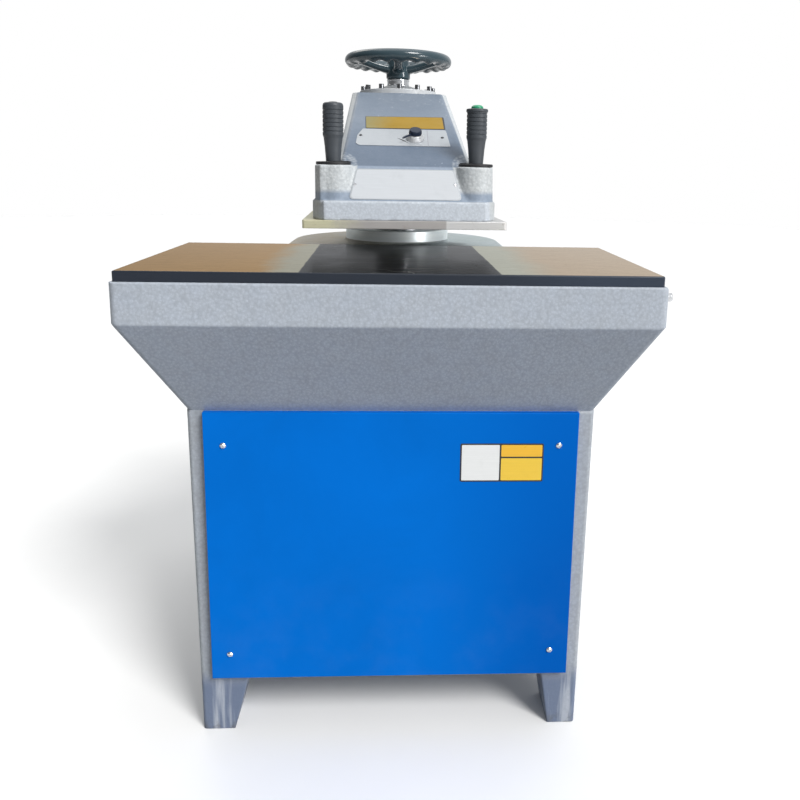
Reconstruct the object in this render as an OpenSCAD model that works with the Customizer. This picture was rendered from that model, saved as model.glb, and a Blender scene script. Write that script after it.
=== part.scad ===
// Swing arm cutting press: a cast pedestal with a flared work table, a hydraulic
// column behind the table, and a press arm that swings on the column.
// Millimetres. Origin on the floor under the middle of the machine, +Z up, front towards -Y.

/* [Table] */
// Width of the table casting at its fascia
table_w = 904; // [896:1:920]
// Height of the working face above the floor
table_h = 894; // [890:1:896]
// Thickness of the steel table plate
plate_t = 18; // [16:1:20]
// Width of the steel table plate
pad_w = 890; // [860:1:896]
// Depth of the steel table plate
pad_d = 430; // [424:1:430]

/* [Pedestal] */
// Width of the pedestal at the floor
foot_w = 714; // [700:1:720]
// Width of the pedestal under the table flare
waist_w = 727; // [722:1:732]
// Height where the table flare begins
waist_h = 635; // [625:1:640]
// Height of the arches between the feet
arch_h = 105; // [90:1:110]

/* [Front panel] */
// Width of the front panel
panel_w = 665; // [640:1:680]
// Distance that the front panel stands proud of the casting
panel_proud = 14; // [10:1:16]

/* [Column] */
// Column diameter
column_d = 100; // [100:1:100]
// Distance of the column axis behind the middle of the machine
axis_y = 160; // [158:1:162]
// Swing of the arm as drawn, in degrees
swing_shown = 2.8; // [-20:0.1:20]

/* [Arm] */
// Distance from the column axis to the front edge of the press plate
reach = 395; // [390:1:400]
// Width of the press plate
press_w = 371; // [360:1:380]
// Depth of the press plate
press_d = 270; // [262:1:272]
// Height of the press plate's lower face
press_z = 951; // [946:1:956]
// Height of the top of the arm's head
head_z = 1216; // [1212:1:1220]

/* [Handwheel] */
// Outer diameter of the handwheel
wheel_d = 238; // [220:1:250]
// Height of the middle of the handwheel's rim
wheel_z = 1292.5; // [1288:0.5:1296]
// Diameter of the handwheel's rim section
rim_d = 28; // [24:1:30]
// Number of handwheel spokes
spokes = 5; // [3:1:6]

/* [Hidden] */
$fn = 64;

hammer = [0.69, 0.72, 0.76];
steel = [0.72, 0.73, 0.75];
dark = [0.19, 0.21, 0.24];
blue = [0.0, 0.4, 0.82];

tw = table_w/2;                 // half width of the table
front_y = -404;                 // front of the table fascia
body_y = -314;                  // front of the pedestal
back_y = 396;                   // back of the pedestal
split_y = 34;                   // back of the table casting
fascia_z0 = 806;                // lower edge of the fascia
fascia_z1 = table_h - plate_t;  // upper edge of the fascia
pad_y1 = 30;                    // back edge of the table plate
roof_z = 760;                   // underside of the column housing
deck_z = 893;                   // deck of the column housing
collar_z = 922;                 // top of the column collar
panel_z0 = 117.5;
panel_z1 = waist_h;
screw_x = 298;
screw_z = [168, 575];
cr = column_d/2;                // column radius
arm_z = press_z + 15;           // underside of the arm casting
ledge_z = 1062;                 // ledge behind the handles
slope_y0 = -352;                // foot of the head's sloping face
slope_z0 = 1066;
slope_y1 = -95;                 // top of the sloping face
slope_a = atan2(head_z - slope_z0, slope_y1 - slope_y0);
slope_run = (slope_z0 - ledge_z)/tan(slope_a);  // from the slope's foot down to the ledge
stick = 0.02;                   // film of glue under the plates
face_y0 = -388;                 // front face of the arm
face_z0 = 1000;
face_y1 = -360;
face_a = atan2(ledge_z - face_z0, face_y1 - face_y0);
grip_x = 131;
grip_y = -353;
cap_t = 11;
cap_r = 86;
cap_pcd = 156;
side_bolt_pts = [[1, -386, 10], [1, -40, 5], [-1, -40, 5]]; // side, y, head height
side_bolt_z = 857;

// ---- placing helpers
module at_axis() translate([0, axis_y, 0]) children();
module on_arm() translate([0, axis_y, 0]) rotate([0, 0, swing_shown]) children();
module on_slope(x, s) on_arm()
  translate([x, slope_y0 + s*cos(slope_a), slope_z0 + s*sin(slope_a)]) rotate([slope_a, 0, 0]) children();
module on_face(x, s) on_arm()
  translate([x, face_y0 + s*cos(face_a), face_z0 + s*sin(face_a)]) rotate([face_a, 0, 0]) children();
// box between two corners
module box(a, b) translate(a) cube([b[0]-a[0], b[1]-a[1], b[2]-a[2]]);
// a profile in X and Z, drawn from y0 to y1
module along_y(pts, y0, y1) translate([0, y1, 0]) rotate([90, 0, 0]) linear_extrude(y1 - y0) polygon(pts);
// a profile in Y and Z, drawn from x0 to x1
module along_x(pts, x0, x1) translate([x0, 0, 0]) rotate([90, 0, 90]) linear_extrude(x1 - x0) polygon(pts);
// a profile in X and Y, drawn from z0 to z1
module up(pts, z0, z1) translate([0, 0, z0]) linear_extrude(z1 - z0) polygon(pts);
module tube(r1, r0, z0, z1) translate([0, 0, z0]) difference() {
  cylinder(h = z1 - z0, r = r1);
  translate([0, 0, -1]) cylinder(h = z1 - z0 + 2, r = r0);
}
module rod(r, z0, z1) translate([0, 0, z0]) cylinder(h = z1 - z0, r = r);
// socket screw standing on z = 0, shank downwards
module socket_screw(head_r, head_h, r, len) difference() {
  union() { cylinder(h = head_h, r = head_r); translate([0, 0, -len]) cylinder(h = len + 0.5, r = r); }
  translate([0, 0, head_h*0.45]) cylinder(h = head_h, r = head_r*0.52, $fn = 6);
}
// hexagon screw standing on z = 0, shank downwards
module hex_screw(head_r, head_h, r, len) union() {
  cylinder(h = head_h, r = head_r, $fn = 6);
  translate([0, 0, -len]) cylinder(h = len + 0.5, r = r);
}
// domed cross-recess screw standing on z = 0, shank downwards
module pan_screw(head_r, head_h, r, len) difference() {
  union() {
    cylinder(h = head_h*0.45, r = head_r);
    translate([0, 0, head_h*0.45]) cylinder(h = head_h*0.55, r1 = head_r, r2 = head_r*0.55);
    translate([0, 0, -len]) cylinder(h = len + 0.5, r = r);
  }
  for (a = [0, 90]) rotate([0, 0, a]) translate([-head_r*0.45, -head_r*0.09, head_h*0.6]) cube([head_r*0.9, head_r*0.18, head_h]);
}
// half-round ended outline of the column housing, inset by d
module housing_outline(d) union() {
  translate([-(236 - d), split_y + d]) square([2*(236 - d), axis_y - split_y - d]);
  translate([0, axis_y]) intersection() { circle(r = 236 - d); translate([-300, 0]) square([600, 300]); }
}

// ---- base
module pedestal() color(hammer) difference() {
  along_y([[-foot_w/2, 0], [foot_w/2, 0], [waist_w/2, waist_h], [-waist_w/2, waist_h]], body_y, back_y);
  // cabinet space
  box([-338, body_y + 22, 130], [338, back_y - 22, waist_h + 1]);
  // service openings, front and back
  box([-285, body_y - 5, 150], [285, body_y + 30, 610]);
  box([-260, back_y - 30, 170], [260, back_y + 5, 560]);
  // arches between the feet
  along_y([[-297, -1], [303, -1], [287, arch_h], [-270, arch_h]], body_y - 5, back_y + 5);
  along_x([[-232, -1], [312, -1], [290, arch_h - 20], [-210, arch_h - 20]], -400, 400);
  // screw holes
  for (x = [-screw_x, screw_x], z = screw_z) translate([x, body_y - 1, z]) rotate([-90, 0, 0]) cylinder(h = 21, r = 3.1);
  for (x = [-272, 272], z = [165, 565]) translate([x, back_y + 1, z]) rotate([90, 0, 0]) cylinder(h = 17, r = 2.6);
  // cable entry
  translate([330, 300, 200]) rotate([0, 90, 0]) cylinder(h = 40, r = 12);
}

// shoulders between the cabinet and the column housing
module rear_shoulder() color(hammer) difference() {
  along_y([[-waist_w/2, waist_h], [waist_w/2, waist_h], [waist_w/2 + 0.5, 690], [236, roof_z], [-236, roof_z], [-waist_w/2 - 0.5, 690]],
    split_y, back_y);
  box([-338, split_y + 20, waist_h - 1], [338, back_y - 22, 676]);
  translate([0, 0, 670]) linear_extrude(100) housing_outline(36);
  at_axis() rod(119, waist_h - 1, roof_z + 1);
}

module table_casting() color(hammer) difference() {
  intersection() {
    along_y([[-waist_w/2, waist_h], [waist_w/2, waist_h], [tw, fascia_z0], [tw, fascia_z1], [-tw, fascia_z1], [-tw, fascia_z0]], front_y, split_y);
    along_x([[body_y, waist_h], [split_y, waist_h], [split_y, fascia_z1], [front_y, fascia_z1], [front_y, fascia_z0]], -tw, tw);
  }
  intersection() {
    along_y([[-338, waist_h - 1], [338, waist_h - 1], [tw - 24, 812], [tw - 24, fascia_z1 - 24], [-tw + 24, fascia_z1 - 24], [-tw + 24, 812]], front_y, split_y);
    along_x([[body_y + 22, waist_h - 1], [split_y - 22, waist_h - 1], [split_y - 22, fascia_z1 - 24], [front_y + 24, fascia_z1 - 24], [front_y + 24, 812]], -tw, tw);
  }
  for (p = side_bolt_pts) translate([p[0]*(tw + 1), p[1], side_bolt_z]) rotate([0, -90*p[0], 0]) cylinder(h = 19, r = 4.1);
}

module column_housing() color(hammer) difference() {
  union() {
    difference() {
      translate([0, 0, roof_z]) linear_extrude(deck_z - roof_z) housing_outline(0);
      translate([0, 0, roof_z - 1]) linear_extrude(deck_z - 22 - roof_z + 1) housing_outline(22);
    }
    at_axis() {
      rod(118, 665, collar_z);
      translate([0, 0, deck_z - 0.5]) cylinder(h = 5.5, r1 = 123, r2 = 118);
      intersection() {
        for (a = [45, 135, 225, 315]) rotate([0, 0, a]) box([100, -8, 790], [216, 8, deck_z - 10]);
        translate([0, -axis_y, 700]) linear_extrude(200) housing_outline(10);
      }
    }
  }
  at_axis() {
    rod(62, 600, collar_z + 1);
    rod(75, 908, collar_z + 1);
    for (i = [0:7]) rotate([0, 0, 22.5 + 45*i]) translate([102, 0, 660]) cylinder(h = 32, r = 6.1);
  }
}

module table_plate() color([0.62, 0.58, 0.5]) box([-pad_w/2, pad_y1 - pad_d, fascia_z1], [pad_w/2, pad_y1, table_h]);

module front_panel() color(blue) difference() {
  box([-panel_w/2, body_y - panel_proud, panel_z0], [panel_w/2, body_y, panel_z1]);
  box([-panel_w/2 + 2.5, body_y - panel_proud + 2.5, panel_z0 + 2.5], [panel_w/2 - 2.5, body_y + 1, panel_z1 - 2.5]);
  for (x = [-screw_x, screw_x], z = screw_z) translate([x, body_y - panel_proud - 1, z]) rotate([-90, 0, 0]) cylinder(h = 6, r = 3.3);
}

module front_panel_screws() color(steel)
  for (x = [-screw_x, screw_x], z = screw_z) translate([x, body_y - panel_proud, z]) rotate([90, 0, 0]) pan_screw(5.2, 3.6, 3, 26);

module panel_plate() color([0.93, 0.78, 0.2]) box([120, body_y - panel_proud - 0.8, 506], [271, body_y - panel_proud, 579]);

module rear_panel() color(blue) difference() {
  box([-285, back_y, 145], [285, back_y + 5, 585]);
  box([-282.5, back_y - 1, 147.5], [282.5, back_y + 2.5, 582.5]);
  for (x = [-272, 272], z = [165, 565]) translate([x, back_y - 1, z]) rotate([-90, 0, 0]) cylinder(h = 8, r = 2.8);
  // ventilation slots
  for (c = [-1, 1], i = [0:8]) translate([c*120, back_y + 1, 260 + 26*i]) rotate([-90, 0, 0]) linear_extrude(6)
    union() { square([150, 8], center = true); for (e = [-75, 75]) translate([e, 0]) circle(r = 4); }
}

module rear_panel_screws() color(steel)
  for (x = [-272, 272], z = [165, 565]) translate([x, back_y + 5, z]) rotate([-90, 0, 0]) pan_screw(6, 3, 2.5, 20);

module side_bolts() color(steel)
  for (p = side_bolt_pts) translate([p[0]*tw, p[1], side_bolt_z]) rotate([0, 90*p[0], 0]) hex_screw(7.5, p[2], 4, 17);

module column_bush_upper() color([0.72, 0.55, 0.3]) at_axis() tube(62, cr + 0.05, 790, 908);
module column_bush_lower() color([0.72, 0.55, 0.3]) at_axis() tube(62, cr + 0.05, 672, 760);
module gland_ring() color(steel) at_axis() tube(75, cr + 0.3, 908, 924);

module cylinder_barrel() color(dark) at_axis() difference() {
  union() { rod(86, 330, 650); rod(118, 647, 665); }
  rod(70, 329, 640);
  rod(cr + 0.2, 600, 666);
  for (i = [0:7]) rotate([0, 0, 22.5 + 45*i]) translate([102, 0, 640]) cylinder(h = 32, r = 6.1);
}
module cylinder_base() color(dark) at_axis() union() { rod(86, 312, 330); rod(69.9, 330, 344); }
module cylinder_bolts() color(steel) at_axis()
  for (i = [0:7]) rotate([0, 0, 22.5 + 45*i]) translate([102, 0, 647]) rotate([180, 0, 0]) socket_screw(9, 8, 6, 42);

// a coil of round wire, swept along a helix with closed, flat-lying end turns
coil_turns = 6; coil_r = 50; wire_r = 6.5; coil_z0 = 344.2; coil_z1 = 499.8; coil_n = 20; wire_n = 8;
function coil_rise(t) = let (u = t*coil_turns, a = 0.75, h = coil_z1 - coil_z0 - 2*wire_r, n = coil_turns - 2*a)
  coil_z0 + wire_r + h*(u < a ? 0 : u > coil_turns - a ? 1 : (u - a)/n);
coil_steps = coil_turns*coil_n;
coil_pts = [for (i = [0:coil_steps], j = [0:wire_n - 1]) let (t = i/coil_steps, a = 360*coil_turns*t, b = 360*j/wire_n, r = coil_r + wire_r*cos(b))
  [r*cos(a), r*sin(a), coil_rise(t) + wire_r*sin(b)]];
coil_faces = concat([[for (j = [0:wire_n - 1]) j]],
  [for (i = [0:coil_steps - 1], j = [0:wire_n - 1]) [i*wire_n + j, (i + 1)*wire_n + j, (i + 1)*wire_n + (j + 1)%wire_n, i*wire_n + (j + 1)%wire_n]],
  [[for (j = [wire_n - 1:-1:0]) coil_steps*wire_n + j]]);
module return_spring() color([0.45, 0.47, 0.5]) at_axis() polyhedron(coil_pts, [for (f = coil_faces) [for (k = [len(f) - 1:-1:0]) f[k]]], convexity = 10);

motor_p = [-200, -130];
module oil_tank() color(dark) difference() {
  box([-320, -275, 130], [-20, 15, 380]);
  box([-316, -271, 134], [-24, 11, 381]);
}
module tank_lid() color(dark) difference() {
  box([-325, -280, 380], [-15, 20, 388]);
  translate([motor_p[0], motor_p[1], 370]) cylinder(h = 30, r = 40);
  translate([-60, -230, 370]) cylinder(h = 30, r = 16);
}
module filler_cap() color("black") translate([-60, -230, 0]) union() { rod(15.8, 372, 388); rod(28, 388, 408); rod(24, 408, 416); }
module motor() color([0.3, 0.38, 0.48]) translate([motor_p[0], motor_p[1], 0]) difference() {
  union() {
    rod(95, 388, 402);
    rod(72, 402, 560);
    for (i = [0:23]) rotate([0, 0, 15*i]) box([70, -1.5, 410], [80, 1.5, 545]);
    rod(80, 552, 605);
    box([60, -40, 440], [100, 40, 520]);
  }
  rod(40, 387, 398);
  rod(12.3, 390, 597);
}
module pump() color(steel) translate([motor_p[0], motor_p[1], 0]) difference() {
  union() { rod(42, 250, 374); rod(62, 370, 380); }
  rod(12.3, 322, 381);
}
module valve_block() color(steel) difference() {
  box([-95, -180, 388], [-30, -100, 468]);
  translate([-62, -99, 440]) rotate([90, 0, 0]) cylinder(h = 30, r = 6);
}
module solenoid() color("black") translate([-62, -140, 0]) union() { rod(12, 468, 476); rod(22, 476, 530); rod(8, 530, 540); }
module pressure_pipe() color(steel) difference() {
  union() {
    translate([-62, -100, 440]) rotate([-90, 0, 0]) cylinder(h = 50, r = 8);
    translate([-62, -50, 440]) sphere(r = 8);
    translate([-62, -50, 440]) cylinder(h = 170, r = 8);
    translate([-62, -50, 610]) sphere(r = 8);
    translate([-62, -50, 610]) rotate([-90, 0, 0]) cylinder(h = 165, r = 8);
  }
  at_axis() rod(86.05, 500, 700);
}
module electrical_box() color([0.8, 0.8, 0.78]) difference() {
  box([228, -250, 300], [338, -20, 600]);
  box([227, -247, 303], [335, -23, 597]);
}
module electrical_box_lid() color([0.8, 0.8, 0.78]) box([222, -252, 298], [228, -18, 602]);
module cable_gland() color("black") translate([0, 300, 200]) rotate([0, 90, 0]) union() {
  rod(11.9, 330, 364);
  translate([0, 0, 330]) cylinder(h = 7.8, r = 19, $fn = 6);
  translate([0, 0, 360]) cylinder(h = 8, r = 19, $fn = 6);
  translate([0, 0, 368]) cylinder(h = 18, r1 = 16, r2 = 11);
}

// ---- column
module column() color([0.8, 0.81, 0.83]) at_axis() difference() {
  union() { rod(cr, 550, 1150); rod(30, 500, 551); rod(20, 466, 501); }
  rod(18, 950, 1151);
  rod(32, 1115, 1151);
}
module piston() color(steel) at_axis() difference() {
  tube(69.9, 30.02, 500, 550);
  for (z = [512, 530]) translate([0, 0, z]) difference() { cylinder(h = 8, r = 71); cylinder(h = 8, r = 66); }
}
module piston_nut() color(steel) at_axis() difference() {
  translate([0, 0, 474]) cylinder(h = 26, r = 33, $fn = 6);
  rod(20.02, 470, 501);
}
module lead_nut() color([0.72, 0.55, 0.3]) at_axis() difference() {
  union() { rod(31.98, 1115, 1150); rod(44, 1150, 1160); }
  rod(14.05, 1100, 1161);
}
module thrust_ring() color(steel) at_axis() tube(57, cr + 0.02, 966, 977.8);

// ---- swivel
module swivel_sleeve() color([0.72, 0.55, 0.3]) on_arm() difference() {
  tube(60, cr + 0.05, 978, 1140);
  box([-5.02, 55.98, 989.98], [5.02, 62, 1090.02]);
}
module feather_key() color(steel) on_arm() box([-5, 56, 990], [5, 66, 1090]);

// ---- arm
module arm_solid() union() {
  // low slab behind the front skirt
  up([[-147, face_y0 - 4], [147, face_y0 - 4], [169, -352], [172, -160], [132, -20], [132, 40], [-132, 40], [-132, -20], [-172, -160], [-169, -352]], arm_z, face_z0);
  // middle, with the raked front face
  intersection() {
    along_x([[face_y0, face_z0 - 5], [face_y0, face_z0], [face_y1, ledge_z], [40, ledge_z], [40, face_z0 - 5]], -150, 150);
    up([[-118, -400], [118, -400], [142, -350], [144, -160], [126, 0], [126, 30], [-126, 30], [-126, 0], [-144, -160], [-142, -350]], face_z0 - 5, ledge_z);
  }
  // handle bosses
  for (x = [-128, 128]) translate([x, grip_y, arm_z]) cylinder(h = 98, r1 = 37, r2 = 34.3);
  // flat cheeks on the outer sides of the bosses
  for (m = [0, 1]) mirror([m, 0, 0]) up([[118, -386], [153.5, -386], [163.5, -366], [164, -318], [118, -318]], face_z0 - 5, arm_z + 98);
  // sloping shoulders under the bosses
  for (m = [0, 1]) mirror([m, 0, 0]) hull() {
    up([[106, face_y0 - 3], [146, face_y0 - 3], [167, -353], [168, -250], [106, -250]], face_z0 - 2, face_z0);
    up([[112, face_y0 + 4], [138, face_y0 + 4], [158, -350], [158, -330], [112, -330]], face_z0 + 20, face_z0 + 21);
  }
  // sloping head
  hull() {
    up([[-115, slope_y0 - slope_run], [115, slope_y0 - slope_run], [127, -335], [126, 20], [-126, 20], [-127, -335]], ledge_z - 22, ledge_z);
    up([[-87, slope_y1], [87, slope_y1], [101, -75], [101, 20], [-101, 20], [-101, -75]], head_z - 1, head_z);
  }
  // round hub over the column
  translate([0, 0, arm_z]) cylinder(h = head_z - arm_z, r1 = 126 + 0.1623*(ledge_z - arm_z), r2 = 101);
}
module arm_casting() color(hammer) on_arm() difference() {
  arm_solid();
  // ribbed underside
  for (x = [[-126, -10], [10, 126]], y = [[-366, -264], [-248, -165]]) box([x[0], y[0], arm_z - 1], [x[1], y[1], ledge_z - 18]);
  // hollow head, with a middle rib
  difference() {
    hull() {
      up([[-96, -300], [96, -300], [106, -280], [106, -88], [-106, -88], [-106, -280]], ledge_z - 19, ledge_z - 18);
      up([[-76, -116], [76, -116], [84, -104], [84, -88], [-84, -88], [-84, -104]], head_z - 27, head_z - 26);
    }
    box([-8, -320, 1000], [8, -60, 1220]);
  }
  // column bore, relief under the hub, keyway
  rod(60.05, arm_z - 1, head_z + 1);
  rod(150, arm_z - 1, arm_z + 8);
  box([-5.1, 55, arm_z - 1], [5.1, 66.1, 1190]);
  // threaded holes
  for (i = [0:11]) rotate([0, 0, 30*i]) translate([cap_pcd/2, 0, head_z - 26]) cylinder(h = 27, r = 4.1);
  for (p = press_screw_pts) translate([p[0], p[1], arm_z - 1]) cylinder(h = 23, r = 5.1);
  for (x = [-grip_x, grip_x]) translate([x, grip_y, 1018]) cylinder(h = 60, r = 8.05);
  // seats of the grip flanges
  for (x = [-grip_x, grip_x]) translate([x, grip_y, arm_z + 98]) cylinder(h = 7, r = 31.8);
  switch_hole();
}
module switch_hole() translate([knob_x, slope_y0 + knob_s*cos(slope_a), slope_z0 + knob_s*sin(slope_a)]) rotate([slope_a, 0, 0])
  translate([0, 0, -60]) cylinder(h = 70, r = 11.2);
knob_x = 23; knob_s = 99;
cp_s = 68.5;                    // lower edge of the control plate on the sloping face
press_screw_pts = [for (x = [-150, 0, 150], y = [-376, -256]) if (!(x == 0 && y == -256)) [x == 0 ? 0 : x*(y == -376 ? 0.9 : 1), y]];

module press_plate() color([0.78, 0.76, 0.72]) on_arm() difference() {
  box([-press_w/2, -reach, press_z], [press_w/2, -reach + press_d, arm_z]);
  for (p = press_screw_pts) { translate([p[0], p[1], press_z - 1]) cylinder(h = 20, r = 5.2); translate([p[0], p[1], press_z - 1]) cylinder(h = 8.5, r = 9); }
}
module press_plate_screws() color(steel) on_arm()
  for (p = press_screw_pts) translate([p[0], p[1], press_z + 7.5]) rotate([180, 0, 0]) socket_screw(8.5, 7, 5, 28);

module top_cap() color(hammer) on_arm() difference() {
  union() {
    rod(cap_r, head_z, head_z + cap_t);
    rod(59.9, head_z - 14, head_z + 0.5);
    translate([0, 0, head_z + cap_t - 0.5]) cylinder(h = 11.5, r1 = 69, r2 = 30);
  }
  rod(20, head_z - 20, head_z + 30);
  for (i = [0:11]) rotate([0, 0, 30*i]) translate([cap_pcd/2, 0, head_z - 1]) cylinder(h = 30, r = 4.2);
}
module top_cap_screws() color(dark) on_arm()
  for (i = [0:11]) rotate([0, 0, 30*i]) translate([cap_pcd/2, 0, head_z + cap_t]) socket_screw(5.4, 10, 4, 34);
module spindle_bush() color([0.72, 0.55, 0.3]) on_arm() tube(20, 14.05, head_z - 14, head_z + cap_t + 10.5);

np_rivets = [[-92, 29.5], [91, 31]];
module nameplate() color([0.85, 0.86, 0.87]) on_face(0, 3) translate([0, 0, stick]) difference() {
  linear_extrude(1) polygon([[-103, 0], [103, 0], [90, 60.5], [-90, 60.5]]);
  for (p = np_rivets) translate([p[0], p[1], -1]) cylinder(h = 4, r = 1.7);
}
module nameplate_rivets() color(steel) on_face(0, 3) translate([0, 0, stick])
  for (p = np_rivets) translate([p[0], p[1], 0.5]) union() { cylinder(h = 0.5, r = 1.6); translate([0, 0, 0.5]) cylinder(h = 1.2, r1 = 3.2, r2 = 1.8); }

cp_screws = [[-82, 38], [76.5, 34.5]];
module control_plate() color([0.86, 0.87, 0.88]) on_slope(0, cp_s) translate([0, 0, stick]) difference() {
  linear_extrude(1.2) polygon([[-85, 0], [88.5, 0], [90, 3], [86, 66], [-78, 66], [-89, 39], [-91.5, 7]]);
  for (p = cp_screws) translate([p[0], p[1], -1]) cylinder(h = 4, r = 1.8);
  translate([knob_x, knob_s - cp_s, -1]) cylinder(h = 4, r = 11.2);
}
module control_plate_screws() color(steel) on_slope(0, cp_s) translate([0, 0, stick])
  for (p = cp_screws) translate([p[0], p[1], 0.6]) union() { cylinder(h = 0.6, r = 1.7); translate([0, 0, 0.6]) cylinder(h = 1.4, r1 = 3.4, r2 = 2); }
module label_strip() color([0.85, 0.68, 0.15]) on_slope(0, 136.6) translate([0, 0, stick]) linear_extrude(0.8) polygon([[-72.8, 0], [85.8, 1.6], [85.8, 54], [-73.4, 50.6]]);
module selector_switch() color([0.75, 0.76, 0.78]) on_slope(knob_x, knob_s) difference() {
  union() {
    translate([0, 0, 1.2 + 2*stick]) cylinder(h = 9.6, r1 = 18.5, r2 = 13.4);
    translate([0, 0, -34]) cylinder(h = 36, r = 11);
  }
  translate([0, 0, -20]) cylinder(h = 40, r = 5.05);
}
module control_knob() color([0.1, 0.11, 0.14]) on_slope(knob_x, knob_s) union() {
  translate([0, 0, -18]) cylinder(h = 30, r = 5);
  translate([0, 0, 11.2]) cylinder(h = 9, r = 12.4);
  rotate([0, 0, 132]) translate([-1.8, 1, 12.2]) cube([3.6, 36, 3]);
}

module grip_stems() color(steel) on_arm() for (x = [-grip_x, grip_x]) translate([x, grip_y, 0]) difference() {
  rod(8, 1020, 1152);
  rod(4.1, 1116, 1153);
}
module grip_flanges() color([0.07, 0.08, 0.09]) on_arm() for (x = [-grip_x, grip_x]) translate([x, grip_y, 0])
  tube(31.5, 8.05, arm_z + 98, arm_z + 104);
grip_z0 = arm_z + 104;
grip_z1 = 1174;
rib_n = 6;
// grip sleeve: slim foot, ribbed middle, and a top that is domed or has a lip
module grip(top) rotate_extrude() polygon(concat(
  [[8.05, 0], [13.4, 0], [13.4, 2.5], [15.2, 26], [17, 41], [18.2, 45.5]],
  [for (i = [0:rib_n - 1]) each [[18.7, 46.4 + 7.4*i], [18.7, 51.6 + 7.4*i], [17.9, 52.4 + 7.4*i], [17.9, 53 + 7.4*i]]],
  top, [[11.3, 84], [8.05, 84]]));
dome_top = [[18.7, 91.5], [18.5, 96], [16.9, 101], [14.5, 103.4], [11.3, grip_z1 - grip_z0]];
lip_top = [[18.6, 90.8], [18.6, 92.6], [20, 93.6], [20, 97.4], [18.4, 99], [11.3, 99]];
module grip_left() color(dark) on_arm() translate([-grip_x, grip_y, grip_z0]) grip(dome_top);
module grip_right() color(dark) on_arm() translate([grip_x, grip_y, grip_z0]) grip(lip_top);
// push button in the top of a grip: cap from z0 to z1, stem below
module button(z0, z1) union() { rod(11, z0, z1 - 3); translate([0, 0, z1 - 3.2]) cylinder(h = 3.2, r1 = 11, r2 = 7); rod(4, 1124, z0 + 1); }
module button_left() color([0.1, 0.1, 0.11]) on_arm() translate([-grip_x, grip_y, 0]) button(1162, 1175.6);
module button_right() color([0.1, 0.5, 0.32]) on_arm() translate([grip_x, grip_y, 0]) button(1160, 1176);

// ---- handwheel and spindle
rim_r = wheel_d/2 - rim_d/2;
module handwheel() color([0.15, 0.19, 0.23]) at_axis() difference() {
  union() {
    rotate_extrude() translate([rim_r, wheel_z]) circle(r = rim_d/2);
    rod(27, 1253, 1298);
    for (i = [0:spokes - 1]) rotate([0, 0, -90 + 360/spokes*i])
      translate([20, 0, 1276]) rotate([0, 90 - atan2(wheel_z - 1281, rim_r - 20), 0]) scale([1, 1, 1]) cylinder(h = rim_r - 18, r1 = 9.5, r2 = 7.5);
  }
  rod(14.02, 1200, 1320);
}
module spindle() color(steel) at_axis() union() { rod(14, 1020, 1298); rod(9, 1297, 1312); }
module thrust_collar() color([0.85, 0.86, 0.88]) at_axis() tube(25.5, 14.02, 1238.4, 1253);
module wheel_nut() color(steel) at_axis() difference() {
  translate([0, 0, 1298]) cylinder(h = 10, r = 16, $fn = 6);
  rod(9.02, 1290, 1320);
}
module motor_shaft() color(steel) translate([motor_p[0], motor_p[1], 0]) union() { rod(12, 324, 590); rod(24, 381.5, 395); }

pedestal();
rear_shoulder();
table_casting();
column_housing();
table_plate();
front_panel();
front_panel_screws();
panel_plate();
rear_panel();
rear_panel_screws();
side_bolts();
column_bush_upper();
column_bush_lower();
gland_ring();
cylinder_barrel();
cylinder_base();
cylinder_bolts();
return_spring();
oil_tank();
tank_lid();
filler_cap();
motor();
pump();
valve_block();
solenoid();
pressure_pipe();
electrical_box();
electrical_box_lid();
cable_gland();
column();
piston();
piston_nut();
lead_nut();
thrust_ring();
swivel_sleeve();
feather_key();
arm_casting();
press_plate();
press_plate_screws();
top_cap();
top_cap_screws();
spindle_bush();
nameplate();
nameplate_rivets();
control_plate();
control_plate_screws();
label_strip();
selector_switch();
grip_stems();
grip_flanges();
grip_left();
grip_right();
handwheel();
spindle();
thrust_collar();
wheel_nut();
button_left();
button_right();
control_knob();
motor_shaft();
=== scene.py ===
import math

import bmesh
import bpy
from mathutils import Matrix, Vector


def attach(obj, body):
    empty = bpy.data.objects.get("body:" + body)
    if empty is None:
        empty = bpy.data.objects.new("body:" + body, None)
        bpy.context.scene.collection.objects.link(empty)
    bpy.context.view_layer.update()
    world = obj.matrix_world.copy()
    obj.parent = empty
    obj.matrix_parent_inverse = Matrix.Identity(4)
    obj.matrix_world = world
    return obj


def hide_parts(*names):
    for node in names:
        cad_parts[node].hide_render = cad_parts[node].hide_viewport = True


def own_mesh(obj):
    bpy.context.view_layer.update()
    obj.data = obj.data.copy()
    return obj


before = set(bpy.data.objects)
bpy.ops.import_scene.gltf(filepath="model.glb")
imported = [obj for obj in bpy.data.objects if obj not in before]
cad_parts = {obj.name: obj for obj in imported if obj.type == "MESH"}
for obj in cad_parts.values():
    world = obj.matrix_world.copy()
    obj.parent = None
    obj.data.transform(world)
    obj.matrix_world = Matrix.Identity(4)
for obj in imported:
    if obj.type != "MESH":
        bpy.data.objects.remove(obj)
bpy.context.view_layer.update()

scene = bpy.context.scene
MM = 0.001

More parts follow.
